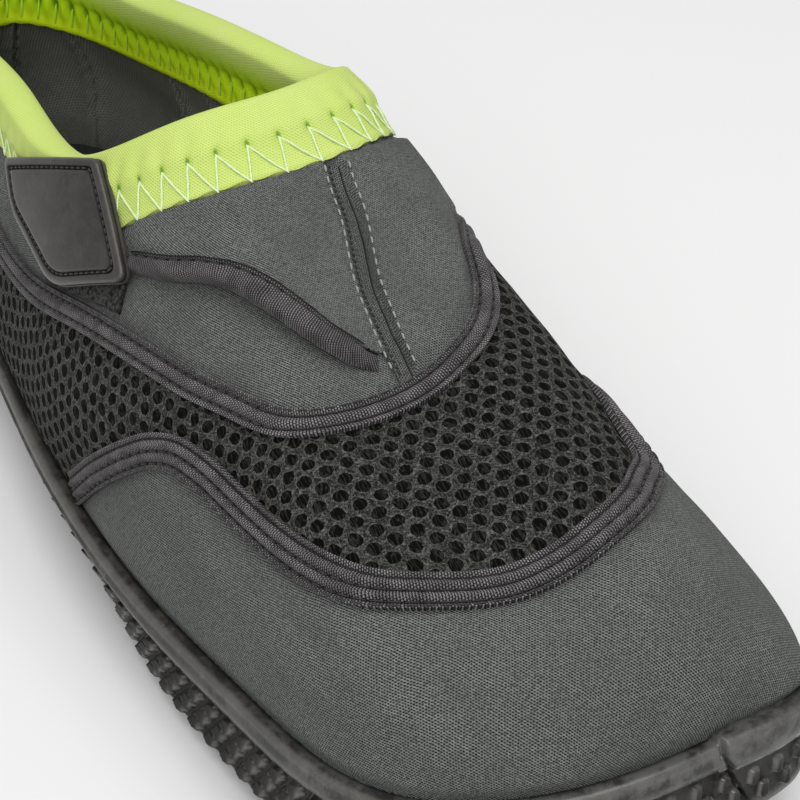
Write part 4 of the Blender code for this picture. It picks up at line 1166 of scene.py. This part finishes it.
def build_upper(cloth):
    """The upper's wall: outer face, edge, lining and hem in one closed skin, its panels told apart by looks."""
    columns, rows, inner_rows = CLOTH_STEPS
    even = np.linspace(0.0, 1.0, columns + 1)
    u = np.interp(even, (0.0, 0.12, 0.74, 0.82, 1.0), (0.0, 0.20, 0.64, 0.85, 1.0))
    outer_v, inner_v = np.linspace(0.0, 1.0, rows), np.linspace(1.0, 0.0, inner_rows)
    grid_u, grid_v = (grid.ravel() for grid in np.meshgrid(u, outer_v))
    points, normals = LAST.point(grid_u, grid_v), LAST.normal(grid_u, grid_v)
    height, kind = cloth_height(grid_u, grid_v, points)
    height = height * ease(grid_v, 0.0, 0.04) + 0.00026 * (1.0 - ease(grid_v, 0.0, 0.05))
    outer = (points + normals * height[:, None]).reshape(rows, columns + 1, 3)
    hem_out, hem_in = (
        LAST.inset(u, lambda share: cup(share, depth), lambda share: bed_top(share) + HEM_RISE)
        for depth in (GAP, GAP + WALL)
    )
    lining_u, lining_v = (grid.ravel() for grid in np.meshgrid(u, inner_v))
    lining = LAST.point(lining_u, lining_v)
    # Stitched seams of the lining stand in as narrow ridges with a groove down the middle
    ridge = np.zeros(len(lining))
    for seam in LINING_SEAMS:
        off = off_centre(lining_u - seam) + 0.0006 * np.sin(lining_v * 190.0 + 900.0 * seam)
        ridge += 0.0016 * dip(off, 0.0, 0.0042) - 0.0022 * dip(off, 0.0, 0.0015)
    ridge = ridge * (1.0 - ease(lining_v, 0.70, 0.80))
    swell = 0.0004 * np.sin(lining_u * 60.0) * np.sin(lining_v * 9.0)
    lining = lining - LAST.normal(lining_u, lining_v) * (WALL + ridge + swell)[:, None]
    lining = lining.reshape(inner_rows, columns + 1, 3)
    rings = np.concatenate([hem_out[None], outer, lining, hem_in[None], hem_out[None]])
    count = len(rings)
    flat = flat_at(grid_u, grid_v).reshape(rows, columns + 1, 2)
    flat_in = flat_at(lining_u, lining_v).reshape(inner_rows, columns + 1, 2)
    hem = np.array([0.0, 0.014])
    uv = np.concatenate([flat[:1] - hem, flat, flat_in, flat_in[-1:] - hem, flat[:1] - hem])
    faces = grid_faces(count, columns + 1)
    kinds = np.full((count - 1, columns), 2)
    kinds[:rows] = 0
    kind = kind.reshape(rows, columns + 1)
    kinds[1:rows] = np.maximum.reduce([kind[:-1, :-1], kind[:-1, 1:], kind[1:, :-1], kind[1:, 1:]])
    looks = [
        knit_look("neoprene_grey", cloth.neoprene_colour, cloth.knit_pitch * MILLIMETRES),
        mesh_look(cloth),
        # The lining's colour carries painted light inside the shoe
        knit_look("lining_knit_dark", cloth.lining_colour, 0.8, 0.3),
    ]
    add_piece("upper_cloth", rings.reshape(-1, 3), faces, uv.reshape(-1, 2), looks, ("upper",),
              kinds=kinds.ravel())


# ---------------------------------------------------------------- collar

class Band:
    """The collar's band: its outer leg, the fold over the edge and its inner leg, as one surface."""

    def __init__(self, pitch):
        base = np.arange(72) / 72.0
        edge = LAST.point(base, 1.0)
        side = LAST.side(base, np.ones_like(base), np.roll(edge, -1, 0) - np.roll(edge, 1, 0))
        self.down = np.linspace(0.0, COLLAR_WIDTH + 0.001, 9)
        self.levels = []
        for distance in self.down:
            u, v = LAST.walk(base, np.ones_like(base), side, -distance)
            self.levels.append(Loop(base, np.interp(base, u, v, period=1.0)))
        self.side = Loop(base, side)
        self.u = np.linspace(0.0, 1.0, 2001)
        self.reach = reach_along(LAST.point(self.u, 1.0))
        self.count = round(self.reach[-1] / pitch)
        self.pitch = self.reach[-1] / self.count

    def ground(self, along, down):
        """Point and normal of the cloth at a length round the edge and a distance below it."""
        u = np.interp(along, self.reach, self.u)
        stack = np.stack([level.at(u)[:, 0] for level in self.levels])
        level = np.clip(down / self.down[1], 0.0, len(self.down) - 1.001)
        i = level.astype(int)
        t = level - i
        columns = np.arange(len(u))
        v = np.clip((1.0 - t) * stack[i, columns] + t * stack[i + 1, columns], 0.0, 1.0)
        return LAST.point(u, v), LAST.normal(u, v), unit(self.side.at(u))

    def outer_height(self, along, down):
        """Height of the outer leg: puffed above the needle holes, thin below them."""
        beat = off_centre(along / self.pitch)
        puff = 0.0010 * (1.0 - 0.55 * (1.0 - down / 0.009).clip(0.0, 1.0) ** 2)
        puff = puff * (1.0 - ease(down, 0.0082, 0.0112))
        thin = 0.0007 * ease(down, 0.0100, 0.0138)
        hole = 0.0006 * dip(beat * self.pitch, 0.0, 0.0006) * dip(down, 0.0094, 0.0008)
        pucker = 0.00016 * np.cos(2.0 * math.pi * beat) * dip(down, 0.0072, 0.0022)
        soft = 0.00018 * np.sin(along / 0.021) * (1.0 - ease(down, 0.010, 0.014))
        return 0.0014 + puff - thin - hole - pucker + soft

    def inner_height(self, along, down):
        """Height of the inner leg: puffed, then drawn in by its stitches, with a thick cut edge."""
        beat = off_centre(along / self.pitch)
        puff = 0.0011 * np.sin(math.pi * np.clip(down / 0.0085, 0.0, 1.0)) ** 0.8
        hole = 0.0009 * dip(beat * self.pitch, 0.0, 0.0009) * dip(down, 0.0100, 0.0016)
        fold = 0.0005 * np.cos(2.0 * math.pi * beat) * dip(down, 0.0112, 0.0022)
        edge = 0.0007 * dip(down, 0.0145, 0.0012)
        return 0.0012 + puff - hole - fold + edge

    def width(self, along):
        """Share of its full width that the outer leg has: narrower on the outer side of the shoe."""
        u = np.interp(along, self.reach, self.u)
        narrow = ease(u, 0.02, 0.10) * (1.0 - ease(u, 0.238, 0.262))
        return 1.0 - 0.36 * narrow + 0.26 * dip(u, 0.205, 0.010) - 0.05 * dip(u, 0.232, 0.009)

    def surface(self, along, place, extra=0.0):
        """Point of the band; place is below 0 on the outer leg, 0 at the fold and above 0 on the inner leg."""
        down = np.abs(place)
        reach = np.maximum(down - FOLD_HALF, 0.0) * COLLAR_WIDTH / (COLLAR_WIDTH - FOLD_HALF)
        ground, out, side = self.ground(along, np.where(place < 0.0, reach * self.width(along), reach))
        leg = np.maximum(down, FOLD_HALF)
        high_out = GAP + self.outer_height(along, leg)
        high_in = -(WALL + GAP + self.inner_height(along, leg))
        # The fold is half an oval from the outer to the inner leg
        turn = np.clip(place / FOLD_HALF, -1.0, 1.0) * 0.5 * math.pi
        middle, half = 0.5 * (high_out + high_in), 0.5 * (high_out - high_in)
        folded = down < FOLD_HALF
        height = np.where(folded, middle - (half + extra) * np.sin(turn),
                          np.where(place < 0.0, high_out + extra, high_in - extra))
        over = np.where(folded, (FOLD_RISE + extra) * np.cos(turn), 0.0)
        return ground + out * height[:, None] + side * over[:, None]


def build_collar(cloth):
    """The band, the zigzag thread over its outer edge and the stitches of its inner leg."""
    strip = Band(cloth.zigzag_pitch)
    along = np.linspace(0.0, strip.reach[-1], BAND_STEPS + 1)
    half = np.concatenate([np.linspace(COLLAR_WIDTH, 0.0034, 26), np.linspace(FOLD_HALF, 0.0, 8)])
    places = np.concatenate([-half, half[-2::-1]])
    top, flat = [], []
    # The cut edges wander a little between the stitches
    wave = 0.0002 * np.sin(2.0 * math.pi * along / strip.pitch + 0.8) + 0.00015 * np.sin(along / 0.0083)
    for place in places:
        shift = np.sign(place) * wave * (abs(place) > 0.0146)
        top.append(strip.surface(along, np.full_like(along, place) + shift))
        flat.append(np.column_stack([along, np.full_like(along, place)]))
    low = []
    for place in (COLLAR_WIDTH, 0.009, 0.0034, 0.0015, -0.0015, -0.0034, -0.009, -COLLAR_WIDTH):
        reach = np.full_like(along, max(abs(place) - FOLD_HALF, 0.0) * 1.25)
        ground, out, side = strip.ground(along, reach * strip.width(along) if place < 0.0 else reach)
        height = GAP if place < 0.0 else -(WALL + GAP)
        over = GAP + 0.0002 if abs(place) < FOLD_HALF else 0.0
        low.append(ground + out * height + side * over)
        flat.append(np.column_stack([along, np.full_like(along, place)]))
    rings = np.stack(top + low + top[:1], 1)
    uv = np.stack(flat + flat[:1], 1)
    faces = grid_faces(BAND_STEPS + 1, rings.shape[1])
    look = collar_look(cloth, strip.pitch * MILLIMETRES)
    add_piece("collar_band", rings.reshape(-1, 3), faces, uv.reshape(-1, 2), [look],
              ("collar_binding",))
    beats = np.arange(strip.count) * strip.pitch
    thread = thread_look("zigzag_thread_pale_green", cloth.thread_colour)
    starts, ends, out = [], [], []
    # Up to the needle hole and down again: share of the pitch, then place across the band
    turns = (-0.12, -ZIGZAG_FOOT), (0.0, -ZIGZAG_TOP), (0.88, -ZIGZAG_FOOT)
    for first, last in zip(turns, turns[1:]):
        legs = []
        for t in np.linspace(0.0, 1.0, 5):
            share, place = (start + (end - start) * t for start, end in zip(first, last))
            along = beats + strip.pitch * share
            legs.append(strip.surface(np.mod(along, strip.reach[-1]), np.full_like(along, place),
                                      0.00006 + 0.00016 * math.sin(math.pi * t)))
        # Each length runs a little into the next, so that the thread looks whole
        starts += [here - 0.18 * (there - here) for here, there in zip(legs, legs[1:])]
        ends += [there + 0.18 * (there - here) for here, there in zip(legs, legs[1:])]
        out += [LAST.normal(np.interp(beats, strip.reach, strip.u), np.full_like(beats, 0.93))] * 4
    sew("collar_zigzag", np.vstack(starts), np.vstack(ends), np.vstack(out), 0.00042, [thread],
        "stretch_binding", 0.1)
    inner_top = strip.surface(beats, np.full_like(beats, 0.0100), 0.0003)
    inner_low = strip.surface(beats + 0.1 * strip.pitch, np.full_like(beats, 0.0136), 0.0002)
    inner = thread_look("inner_thread_green", (0.60, 0.86, 0.03))
    sew("collar_inner_stitches", inner_top, inner_low, -out[0], 0.00060, [inner], "stretch_binding", 0.5)


# ---------------------------------------------------------------- tapes

def tape_profile(width, ribs, grooves, length=None):
    """Top of a woven tape: rounded edges, ribs, dimpled grooves; with a length it thins at its ends."""
    half = 0.5 * width

    def height(x, along):
        t = x / half
        crown = 0.62 + 0.38 * (1.0 - abs(t) ** 3)
        rib = 0.22 * math.cos(ribs * math.pi * (t + 1.0))
        top = TAPE_THICKNESS * (crown - 0.14 + rib)
        for groove in grooves:
            near = float(dip(x, groove, 0.00045))
            top = top - near * (0.00026 + 0.00016 * np.cos(2.0 * math.pi * along / TAPE_STITCH[0]))
        wander = 0.00012 * np.sin(along / 0.0093 + 3.0 * t) * (1.0 - abs(t))
        top = np.maximum(top + wander, 0.0003)
        if length is None:
            return GAP + top
        from_end = np.minimum(along, length - along)
        return GAP * ease(from_end, -0.001, 0.002) + 0.00005 + top * ease(from_end, -0.0002, 0.0060)

    return height


def build_tapes(cloth):
    """Both woven tapes, each with three rows of stitches."""
    thread = thread_look("tape_thread_black", BLACK_THREAD)
    for name, line, length, width, ribs, grooves, rows in (
        ("toe_tape", TOE_LINE, TOE_LINE.reach[-1], TOE_TAPE, 3.0, (-0.00213, 0.0, 0.00213),
         (-0.00213, 0.0, -0.0029)),
        ("throat_tape", THROAT_LINE, None, THROAT_TAPE, 2.0, (-0.00125, 0.00125), (0.00125, 0.0021, -0.00125)),
    ):
        # Painted shade along the stitched grooves
        lines = [(groove * MILLIMETRES, 0.30) for groove in grooves]
        look = weave_look(f"{name}_weave", cloth.tape_colour, 0.5, lines)
        profile = tape_profile(width, ribs, grooves, length)
        band(f"{name}_woven", line, np.linspace(-0.5, 0.5, 31) * width, profile, [look], (name,))
        runs = [stitch_run(line, place, profile, TAPE_STITCH) for place in rows]
        sew(f"{name}_stitches", *(np.vstack(parts) for parts in zip(*runs)), THREAD, [thread], "woven_tape")


# ---------------------------------------------------------------- instep: seam, flap and its tape

def flap_lift(t):
    """How far the flap's lower edge stands up, by the share of its length from the tab."""
    return FLAP_LIFT * np.sin(np.pi * np.clip(t, 0.0, 1.0) ** 1.2) ** 0.8


def build_seam(cloth):
    """The strip down the instep, its rows of stitches and the overlock thread beside the flap."""
    thread = thread_look("seam_thread_grey", cloth.seam_colour)
    # Painted shade: the sunken strip is a little darker than the neoprene, and darker still along its edges
    # where the panels step up
    look = knit_look("seam_strip_grey", shade(cloth.neoprene_colour, 0.85), cloth.knit_pitch * MILLIMETRES,
                     lines=((-1.45, 0.35), (1.45, 0.22)))

    def height(x, along):
        fold = 0.0003 * dip(x, 0.0002, 0.0006)
        ladder = 0.00018 * np.cos(2.0 * math.pi * along / 0.0011) * math.exp(-((x / 0.0012) ** 2))
        return GAP + 0.00015 + fold + ladder

    def sheet_top(x, along):
        return np.full_like(along, GAP + FLAP_CLOTH + 0.00015)

    def panel_top(x, along):
        u, v = SEAM_LINE.walk(along, x)
        return cloth_height(u, v, LAST.point(u, v))[0] + 0.00005

    band("seam_strip", SEAM_LINE, np.linspace(-0.5, 0.5, 15) * SEAM_STRIP, height, [look],
         ("instep_seam",))
    for name, place, top in (
        ("seam_stitches_outer", -0.0021, sheet_top), ("seam_stitches_inner", 0.0022, panel_top),
    ):
        sew(name, *stitch_run(SEAM_LINE, place, top, SEAM_STITCH), THREAD, [thread], "neoprene", 0.5)
    # Dark overlock thread wraps the cut edge beside the flap
    dark = thread_look("seam_thread_black", BLACK_THREAD)
    outer, inner = (stitch_run(SEAM_LINE, place, sheet_top, OVERLOCK_STITCH) for place in (-0.0017, -0.0011))
    sew("seam_overlock", outer[0], inner[1] - 0.0006 * inner[2], outer[2], 0.00055, [dark], "neoprene", 0.8)


def build_flap(cloth):
    """The loose sheet from the tape's line (row 0) up under the collar's band, open along its lower edge."""
    line = Line(LAST, FLAP_LINE.u, FLAP_LINE.v, 0.0010)
    count, rows = len(line.u), 44
    t, r = np.linspace(0.0, 1.0, count), np.linspace(0.0, 1.0, rows)
    low = np.stack(LAST.walk(line.u, line.v, line.side, FLAP_TAPE[0] - 0.0010), 1)
    edge_u = np.linspace(*FLAP_TOP, count)
    edge = np.ones_like(edge_u)
    down = LAST.side(edge_u, edge, LAST.slopes(edge_u, edge)[0])
    top = np.stack(LAST.walk(edge_u, edge, down, -(COLLAR_WIDTH + 0.0001)), 1)
    seam = Line(LAST, SEAM_LINE.u[::-1], SEAM_LINE.v[::-1], 0.0010)
    away = np.stack(LAST.walk(seam.u, seam.v, seam.side, 0.5 * SEAM_STRIP + 0.0001), 1)
    order = np.argsort(away[:, 1])
    right_v = low[-1, 1] + (top[-1, 1] - low[-1, 1]) * r
    right_u = np.interp(right_v, away[order, 1], away[order, 0])
    straight = (1 - r)[:, None, None] * low + r[:, None, None] * top
    shift = np.stack([right_u, right_v], 1) - straight[:, -1]
    grid = straight + t[None, :, None] * shift[:, None, :]
    u, v = grid[..., 0].ravel(), grid[..., 1].ravel()
    rise = ((1.0 - r)[:, None] ** 1.5 * flap_lift(t)[None, :]).ravel()
    near_seam = np.broadcast_to(dip(t, 0.97, 0.012), (rows, count)).ravel()
    puff = (np.sin(math.pi * r)[:, None] * np.sin(math.pi * t ** 0.8)[None, :]).ravel()
    fold = (dip(r, 0.30, 0.10)[:, None] * dip(t, 0.25, 0.18)[None, :]).ravel()
    top_height = GAP + rise + FLAP_CLOTH + 0.0006 * puff - 0.00025 * near_seam + 0.0004 * fold
    share = np.broadcast_to(r[:, None], (rows, count)).ravel()
    thin = np.minimum(1.0, 0.35 + 8.0 * share) * (1.0 - 0.55 * ease(share, 0.93, 1.0))
    top_height = top_height - 0.0008 * ease(share, 0.93, 1.0)
    outer = LAST.at(u, v, top_height)
    inner = LAST.at(u, v, top_height - (FLAP_CLOTH + 0.0003 * puff) * thin)
    size = rows * count
    faces = grid_faces(rows, count) + [face[::-1] for face in grid_faces(rows, count, size)]
    index = np.arange(size).reshape(rows, count)
    rim = [*index[0], *index[1:, -1], *index[-1, -2::-1], *index[-2:0:-1, 0]]
    faces += [[b, a, a + size, b + size] for a, b in zip(rim, rim[1:] + rim[:1])]
    flat = flat_at(u, v)
    look = knit_look("flap_neoprene_grey", cloth.neoprene_colour, cloth.knit_pitch * MILLIMETRES)
    add_piece("flap_cloth", np.vstack([outer, inner]), faces, np.vstack([flat, flat]), [look],
              ("instep_flap",))


def build_flap_tape(cloth):
    """Taffeta tape folded round the flap's lower edge, with one row of stitches and soft cross wrinkles."""
    width, thickness = FLAP_TAPE
    # Painted shade in its groove, and a dark line at its stitched top edge
    look = weave_look("flap_tape_taffeta", shade(cloth.tape_colour, 0.78), 0.46, ((-0.95, 0.35), (-0.05, 0.3)))
    thread = thread_look("flap_thread_black", BLACK_THREAD)
    end = FLAP_LINE.reach[-1]

    def height(x, along):
        t = x / width
        round_edge = math.sqrt(max(0.0, 1.0 - (1.0 - min(1.0, t / 0.35)) ** 2))
        fall = 1.0 - 0.30 * float(ease(t, 0.70, 0.84)) + 0.10 * float(ease(t, 0.90, 1.0))
        wrinkle = 0.00016 * np.sin(along / 0.0019 + 2.0 * np.sin(along / 0.006))
        wrinkle = wrinkle * math.sin(math.pi * min(1.0, t / 0.8))
        stitch = float(dip(t, 0.79, 0.07)) * (0.0004 + 0.0002 * np.cos(2.0 * math.pi * along / FLAP_STITCH[0]))
        taper = 0.30 + 0.70 * ease(np.minimum(along + 0.002, end - along), 0.0, 0.0045)
        return GAP + 0.0003 + ((thickness - 0.0003) * max(0.25, round_edge) * fall + wrinkle - stitch) * taper

    lift = flap_lift(np.linspace(0.0, 1.0, len(FLAP_LINE.u)))
    band("flap_tape_taffeta", FLAP_LINE, width * np.linspace(0.0, 1.0, 27) ** 1.3, height, [look],
         ("flap_binding",), lift=lift, girth=True)
    sew("flap_tape_stitches", *stitch_run(FLAP_LINE, 0.79 * width, height, FLAP_STITCH, lift), 0.00034,
        [thread], "woven_tape")


# ---------------------------------------------------------------- fastening: rubber tab and loop patch

def build_patch():
    """The loop side of the fastening."""
    bits = np.random.default_rng(7).uniform(-1.0, 1.0, (9, 4))

    def height(x, along):
        """Uneven pile: a sum of short waves that don't repeat along the patch."""
        edge = float(ease(0.5 * PATCH_WIDTH - abs(x), 0.0, 0.0006))
        pile = sum(np.sin(along / 0.0004 * (1.0 + 0.5 * a) + 9.0 * b + x / 0.0005 * c) * (0.4 + d * 0.3)
                   for a, b, c, d in bits)
        return GAP + 0.0005 + edge * (0.0007 + 0.00003 * pile)

    line = Line(LAST, PATCH_LINE.u, PATCH_LINE.v, 0.0003)
    band("loop_pile_patch", line, np.linspace(-0.5, 0.5, 37) * PATCH_WIDTH, height, [pile_look()],
         ("loop_patch",))


def build_tab(rubber):
    """Moulded tab: a rounded outline, a flat rim, a stitched groove inside it and a slightly crowned field."""
    spot = [np.array([value]) for value in TAB_PLACE]
    normal = LAST.normal(*spot)[0]
    ends = [LAST.point(np.array([u]), np.array([v]))[0] for u, v in TAB_JOIN]
    along = ends[0] - ends[1]
    along -= normal * (along @ normal)
    along /= np.linalg.norm(along)
    away = np.cross(normal, along)
    origin = ends[0] - normal * ((ends[0] - LAST.point(*spot)[0]) @ normal)
    corners = np.array(TAB_OUTLINE)
    edges = unit(np.roll(corners, -1, 0) - corners)
    inward = np.column_stack([-edges[:, 1], edges[:, 0]])
    centre = corners.mean(0)
    inward *= np.sign(((centre - corners) * inward).sum(1))[:, None]

    def outline(inset):
        """The rounded outline drawn in by an inset: each corner moves along the middle of its angle."""
        moved = []
        for i in range(len(corners)):
            two = np.array([inward[i - 1], inward[i]])
            moved.append(corners[i] + np.linalg.solve(two, [inset, inset]))
        points = []
        for i, corner in enumerate(moved):
            before, after = moved[i - 1] - corner, moved[(i + 1) % len(moved)] - corner
            radius = max(0.0007, TAB_RADII[i] - 0.6 * inset)
            start = corner + before * radius / np.linalg.norm(before)
            finish = corner + after * radius / np.linalg.norm(after)
            for t in np.linspace(0.0, 1.0, 9):
                points.append((1 - t) ** 2 * start + 2 * t * (1 - t) * corner + t**2 * finish)
            ahead = (i + 1) % len(moved)
            next_radius = max(0.0007, TAB_RADII[ahead] - 0.6 * inset)
            next_start = moved[ahead] - after * next_radius / np.linalg.norm(after)
            points += [finish + (next_start - finish) * t for t in np.linspace(0.0, 1.0, 40)[1:-1]]
        return np.array(points)

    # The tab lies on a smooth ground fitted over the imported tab's own under face
    solid = np.array([corner.co[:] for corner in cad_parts["strap_tab"].data.vertices]) - origin
    plane = np.column_stack([solid @ along, solid @ away])
    rise = solid @ normal

    def terms(points):
        x, y = points.T / PLANE_SCALE
        return np.column_stack([np.ones_like(x), x, y, x * x, x * y, y * y])

    fit = np.linalg.lstsq(terms(plane), rise, rcond=None)[0]
    rings, relief, flat = [], [], []

    def ring(points, height, mark):
        base = terms(points) @ fit
        rings.append(origin + np.outer(points[:, 0], along) + np.outer(points[:, 1], away)
                     + np.outer(base + height, normal))
        relief.append(np.full(len(points), mark))
        flat.append(points)

    half = 0.5 * TAB_THICKNESS
    rim = outline(0.0)
    for scale in (0.30, 0.75):
        ring(centre + scale * (rim - centre), -half, 0.4)
    for inset, height, mark in TAB_PROFILE:
        ring(outline(inset), height, mark)
    field = outline(0.0032)
    for scale in (0.85, 0.65, 0.42, 0.18, 0.04):
        ring(centre + scale * (field - centre), half + 0.00004 + 0.00015 * (1.0 - scale), 0.45)
    rings, relief, flat = np.stack(rings), np.stack(relief), np.stack(flat)
    count, columns = rings.shape[:2]
    rings, relief, flat = (np.concatenate([a, a[:, :1]], 1) for a in (rings, relief, flat))
    faces = grid_faces(count, columns + 1)
    faces += [list(range(columns))[::-1], [(count - 1) * (columns + 1) + k for k in range(columns)]]
    groove = outline(0.0021)
    spots = origin + groove @ np.array([along, away]) + np.outer(terms(groove) @ fit + half - 0.00036, normal)
    looped = np.vstack([spots, spots[:1]])
    reach = reach_along(looped)
    at = np.arange(0.0, reach[-1] - 0.0008, TAB_STITCH[0])
    starts, ends = (between(at + step, reach, looped) for step in (0.0, TAB_STITCH[1]))
    thread = thread_look("tab_thread_black", (0.016, 0.015, 0.016))
    sew("tab_stitches", starts, ends, np.broadcast_to(normal, starts.shape), 0.00042, [thread], "woven_tape")
    look = rubber_look("tab_rubber_charcoal", rubber.tab_colour, gloss=0.5, mottle=0.25)
    add_piece("tab_rubber", rings.reshape(-1, 3), faces, flat.reshape(-1, 2), [look], ("strap_tab",),
              relief=relief.ravel())


# ---------------------------------------------------------------- stage

def floor_look(colour):
    """Plain floor with the faintest clouds."""
    look = Look("floor_pale", 0.9, 0.0, 0.2)
    wash = look.noise(1.5, 2.0)
    base = look.mix(wash * 0.5, shade(colour, 0.995), shade(colour, 1.005))
    return look.feed(base, look.ramp(wash, 0.2, 0.8, 0.88, 0.95))


def build_stage(stage):
    """The floor, an even sky, a lamp overhead and one at the front, and the camera at the picture's angle."""
    bpy.ops.object.select_all(action="DESELECT")
    bpy.ops.mesh.primitive_plane_add(size=8.0, location=(0.0, 0.0, 0.0))
    floor = bpy.context.object
    floor.name = "floor"
    floor.data.materials.append(floor_look(stage.floor_colour))
    world = bpy.data.worlds.new("studio")
    bpy.context.scene.world = world
    world.use_nodes = True
    sky = world.node_tree.nodes["Background"]
    sky.inputs["Color"].default_value = (1.0, 1.0, 1.0, 1.0)
    sky.inputs["Strength"].default_value = 0.52
    for name, place, aim, width, power in (
        ("overhead", (0.02, -0.10, 1.20), (0.0, -0.02, 0.04), 1.1, 9.8),
        ("outer_front", (-0.62, -0.80, 0.85), (0.0, -0.03, 0.03), 0.6, 6.0),
    ):
        bpy.ops.object.light_add(type="AREA", location=place)
        lamp = bpy.context.object
        lamp.name = name
        lamp.data.size = width
        lamp.data.energy = power
        lamp.rotation_euler = (Vector(aim) - Vector(place)).to_track_quat("-Z", "Y").to_euler()
    a, e, roll = stage.azimuth, stage.elevation, stage.roll
    right = Vector((math.cos(a), math.sin(a), 0.0))
    back = Vector((math.sin(a) * math.cos(e), -math.cos(a) * math.cos(e), math.sin(e)))
    up = back.cross(right)
    turned_right = right * math.cos(roll) + up * math.sin(roll)
    turned_up = up * math.cos(roll) - right * math.sin(roll)
    bpy.ops.object.camera_add(location=Vector(CAMERA_AIM) + back * stage.distance)
    camera = bpy.context.object
    camera.rotation_euler = Matrix((turned_right, turned_up, back)).transposed().to_euler()
    camera.data.sensor_width = 36.0
    camera.data.lens = stage.lens
    camera.data.clip_start = 0.01
    bpy.context.scene.camera = camera
    bpy.context.scene.view_settings.view_transform = "Standard"
    bpy.context.scene.view_settings.look = "None"


# ---------------------------------------------------------------- operators, panel and the run

class SHOE_OT_sole(bpy.types.Operator):
    """Builds the moulded sole with its knobs, and the bars of its tread"""
    bl_idname = "shoe.sole"
    bl_label = "Sole"

    def execute(self, context):
        build_sole(context.scene.shoe_rubber)
        build_tread(context.scene.shoe_rubber)
        return {"FINISHED"}


class SHOE_OT_insole(bpy.types.Operator):
    """Builds the knit-covered insole"""
    bl_idname = "shoe.insole"
    bl_label = "Insole"

    def execute(self, context):
        build_insole()
        return {"FINISHED"}


class SHOE_OT_upper(bpy.types.Operator):
    """Builds the upper's neoprene and mesh panels and its lining"""
    bl_idname = "shoe.upper"
    bl_label = "Upper"

    def execute(self, context):
        build_upper(context.scene.shoe_cloth)
        return {"FINISHED"}


class SHOE_OT_collar(bpy.types.Operator):
    """Builds the folded collar band and its zigzag stitches"""
    bl_idname = "shoe.collar"
    bl_label = "Collar"

    def execute(self, context):
        build_collar(context.scene.shoe_cloth)
        return {"FINISHED"}


class SHOE_OT_tapes(bpy.types.Operator):
    """Builds the woven tapes of toe and throat with their stitches"""
    bl_idname = "shoe.tapes"
    bl_label = "Tapes"

    def execute(self, context):
        build_tapes(context.scene.shoe_cloth)
        return {"FINISHED"}


class SHOE_OT_instep(bpy.types.Operator):
    """Builds the instep's seam, the open flap and its tape"""
    bl_idname = "shoe.instep"
    bl_label = "Instep"

    def execute(self, context):
        build_seam(context.scene.shoe_cloth)
        build_flap(context.scene.shoe_cloth)
        build_flap_tape(context.scene.shoe_cloth)
        return {"FINISHED"}


class SHOE_OT_fastening(bpy.types.Operator):
    """Builds the rubber strap tab and the loop patch under it"""
    bl_idname = "shoe.fastening"
    bl_label = "Fastening"

    def execute(self, context):
        build_patch()
        build_tab(context.scene.shoe_rubber)
        return {"FINISHED"}


class SHOE_OT_stage(bpy.types.Operator):
    """Builds the floor, the lights and the camera"""
    bl_idname = "shoe.stage"
    bl_label = "Stage"

    def execute(self, context):
        build_stage(context.scene.shoe_stage)
        return {"FINISHED"}


OPERATORS = (SHOE_OT_sole, SHOE_OT_insole, SHOE_OT_upper, SHOE_OT_collar, SHOE_OT_tapes, SHOE_OT_instep,
             SHOE_OT_fastening, SHOE_OT_stage)


class SHOE_PT_sidebar(bpy.types.Panel):
    """Sizes, colours and building steps of the shoe"""
    bl_label = "Water Shoe"
    bl_idname = "SHOE_PT_sidebar"
    bl_space_type = "VIEW_3D"
    bl_region_type = "UI"
    bl_category = "Water Shoe"

    def draw(self, context):
        for name, kind in SETTINGS:
            box = self.layout.box()
            for key in kind.__annotations__:
                box.prop(getattr(context.scene, name), key)
        for operator in OPERATORS:
            self.layout.operator(operator.bl_idname)


SETTINGS = (
    ("shoe_cloth", ShoeClothSettings), ("shoe_rubber", ShoeRubberSettings), ("shoe_stage", ShoeStageSettings),
)


def register():
    for key, settings in SETTINGS:
        bpy.utils.register_class(settings)
        setattr(bpy.types.Scene, key, PointerProperty(type=settings))
    for operator in OPERATORS:
        bpy.utils.register_class(operator)
    bpy.utils.register_class(SHOE_PT_sidebar)


def unregister():
    bpy.utils.unregister_class(SHOE_PT_sidebar)
    for operator in reversed(OPERATORS):
        bpy.utils.unregister_class(operator)
    for key, settings in reversed(SETTINGS):
        delattr(bpy.types.Scene, key)
        bpy.utils.unregister_class(settings)


def main():
    register()
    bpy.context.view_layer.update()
    bpy.ops.shoe.sole()
    bpy.ops.shoe.insole()
    bpy.ops.shoe.upper()
    bpy.ops.shoe.collar()
    bpy.ops.shoe.tapes()
    bpy.ops.shoe.instep()
    bpy.ops.shoe.fastening()
    bpy.ops.shoe.stage()


if __name__ == "__main__":
    main()
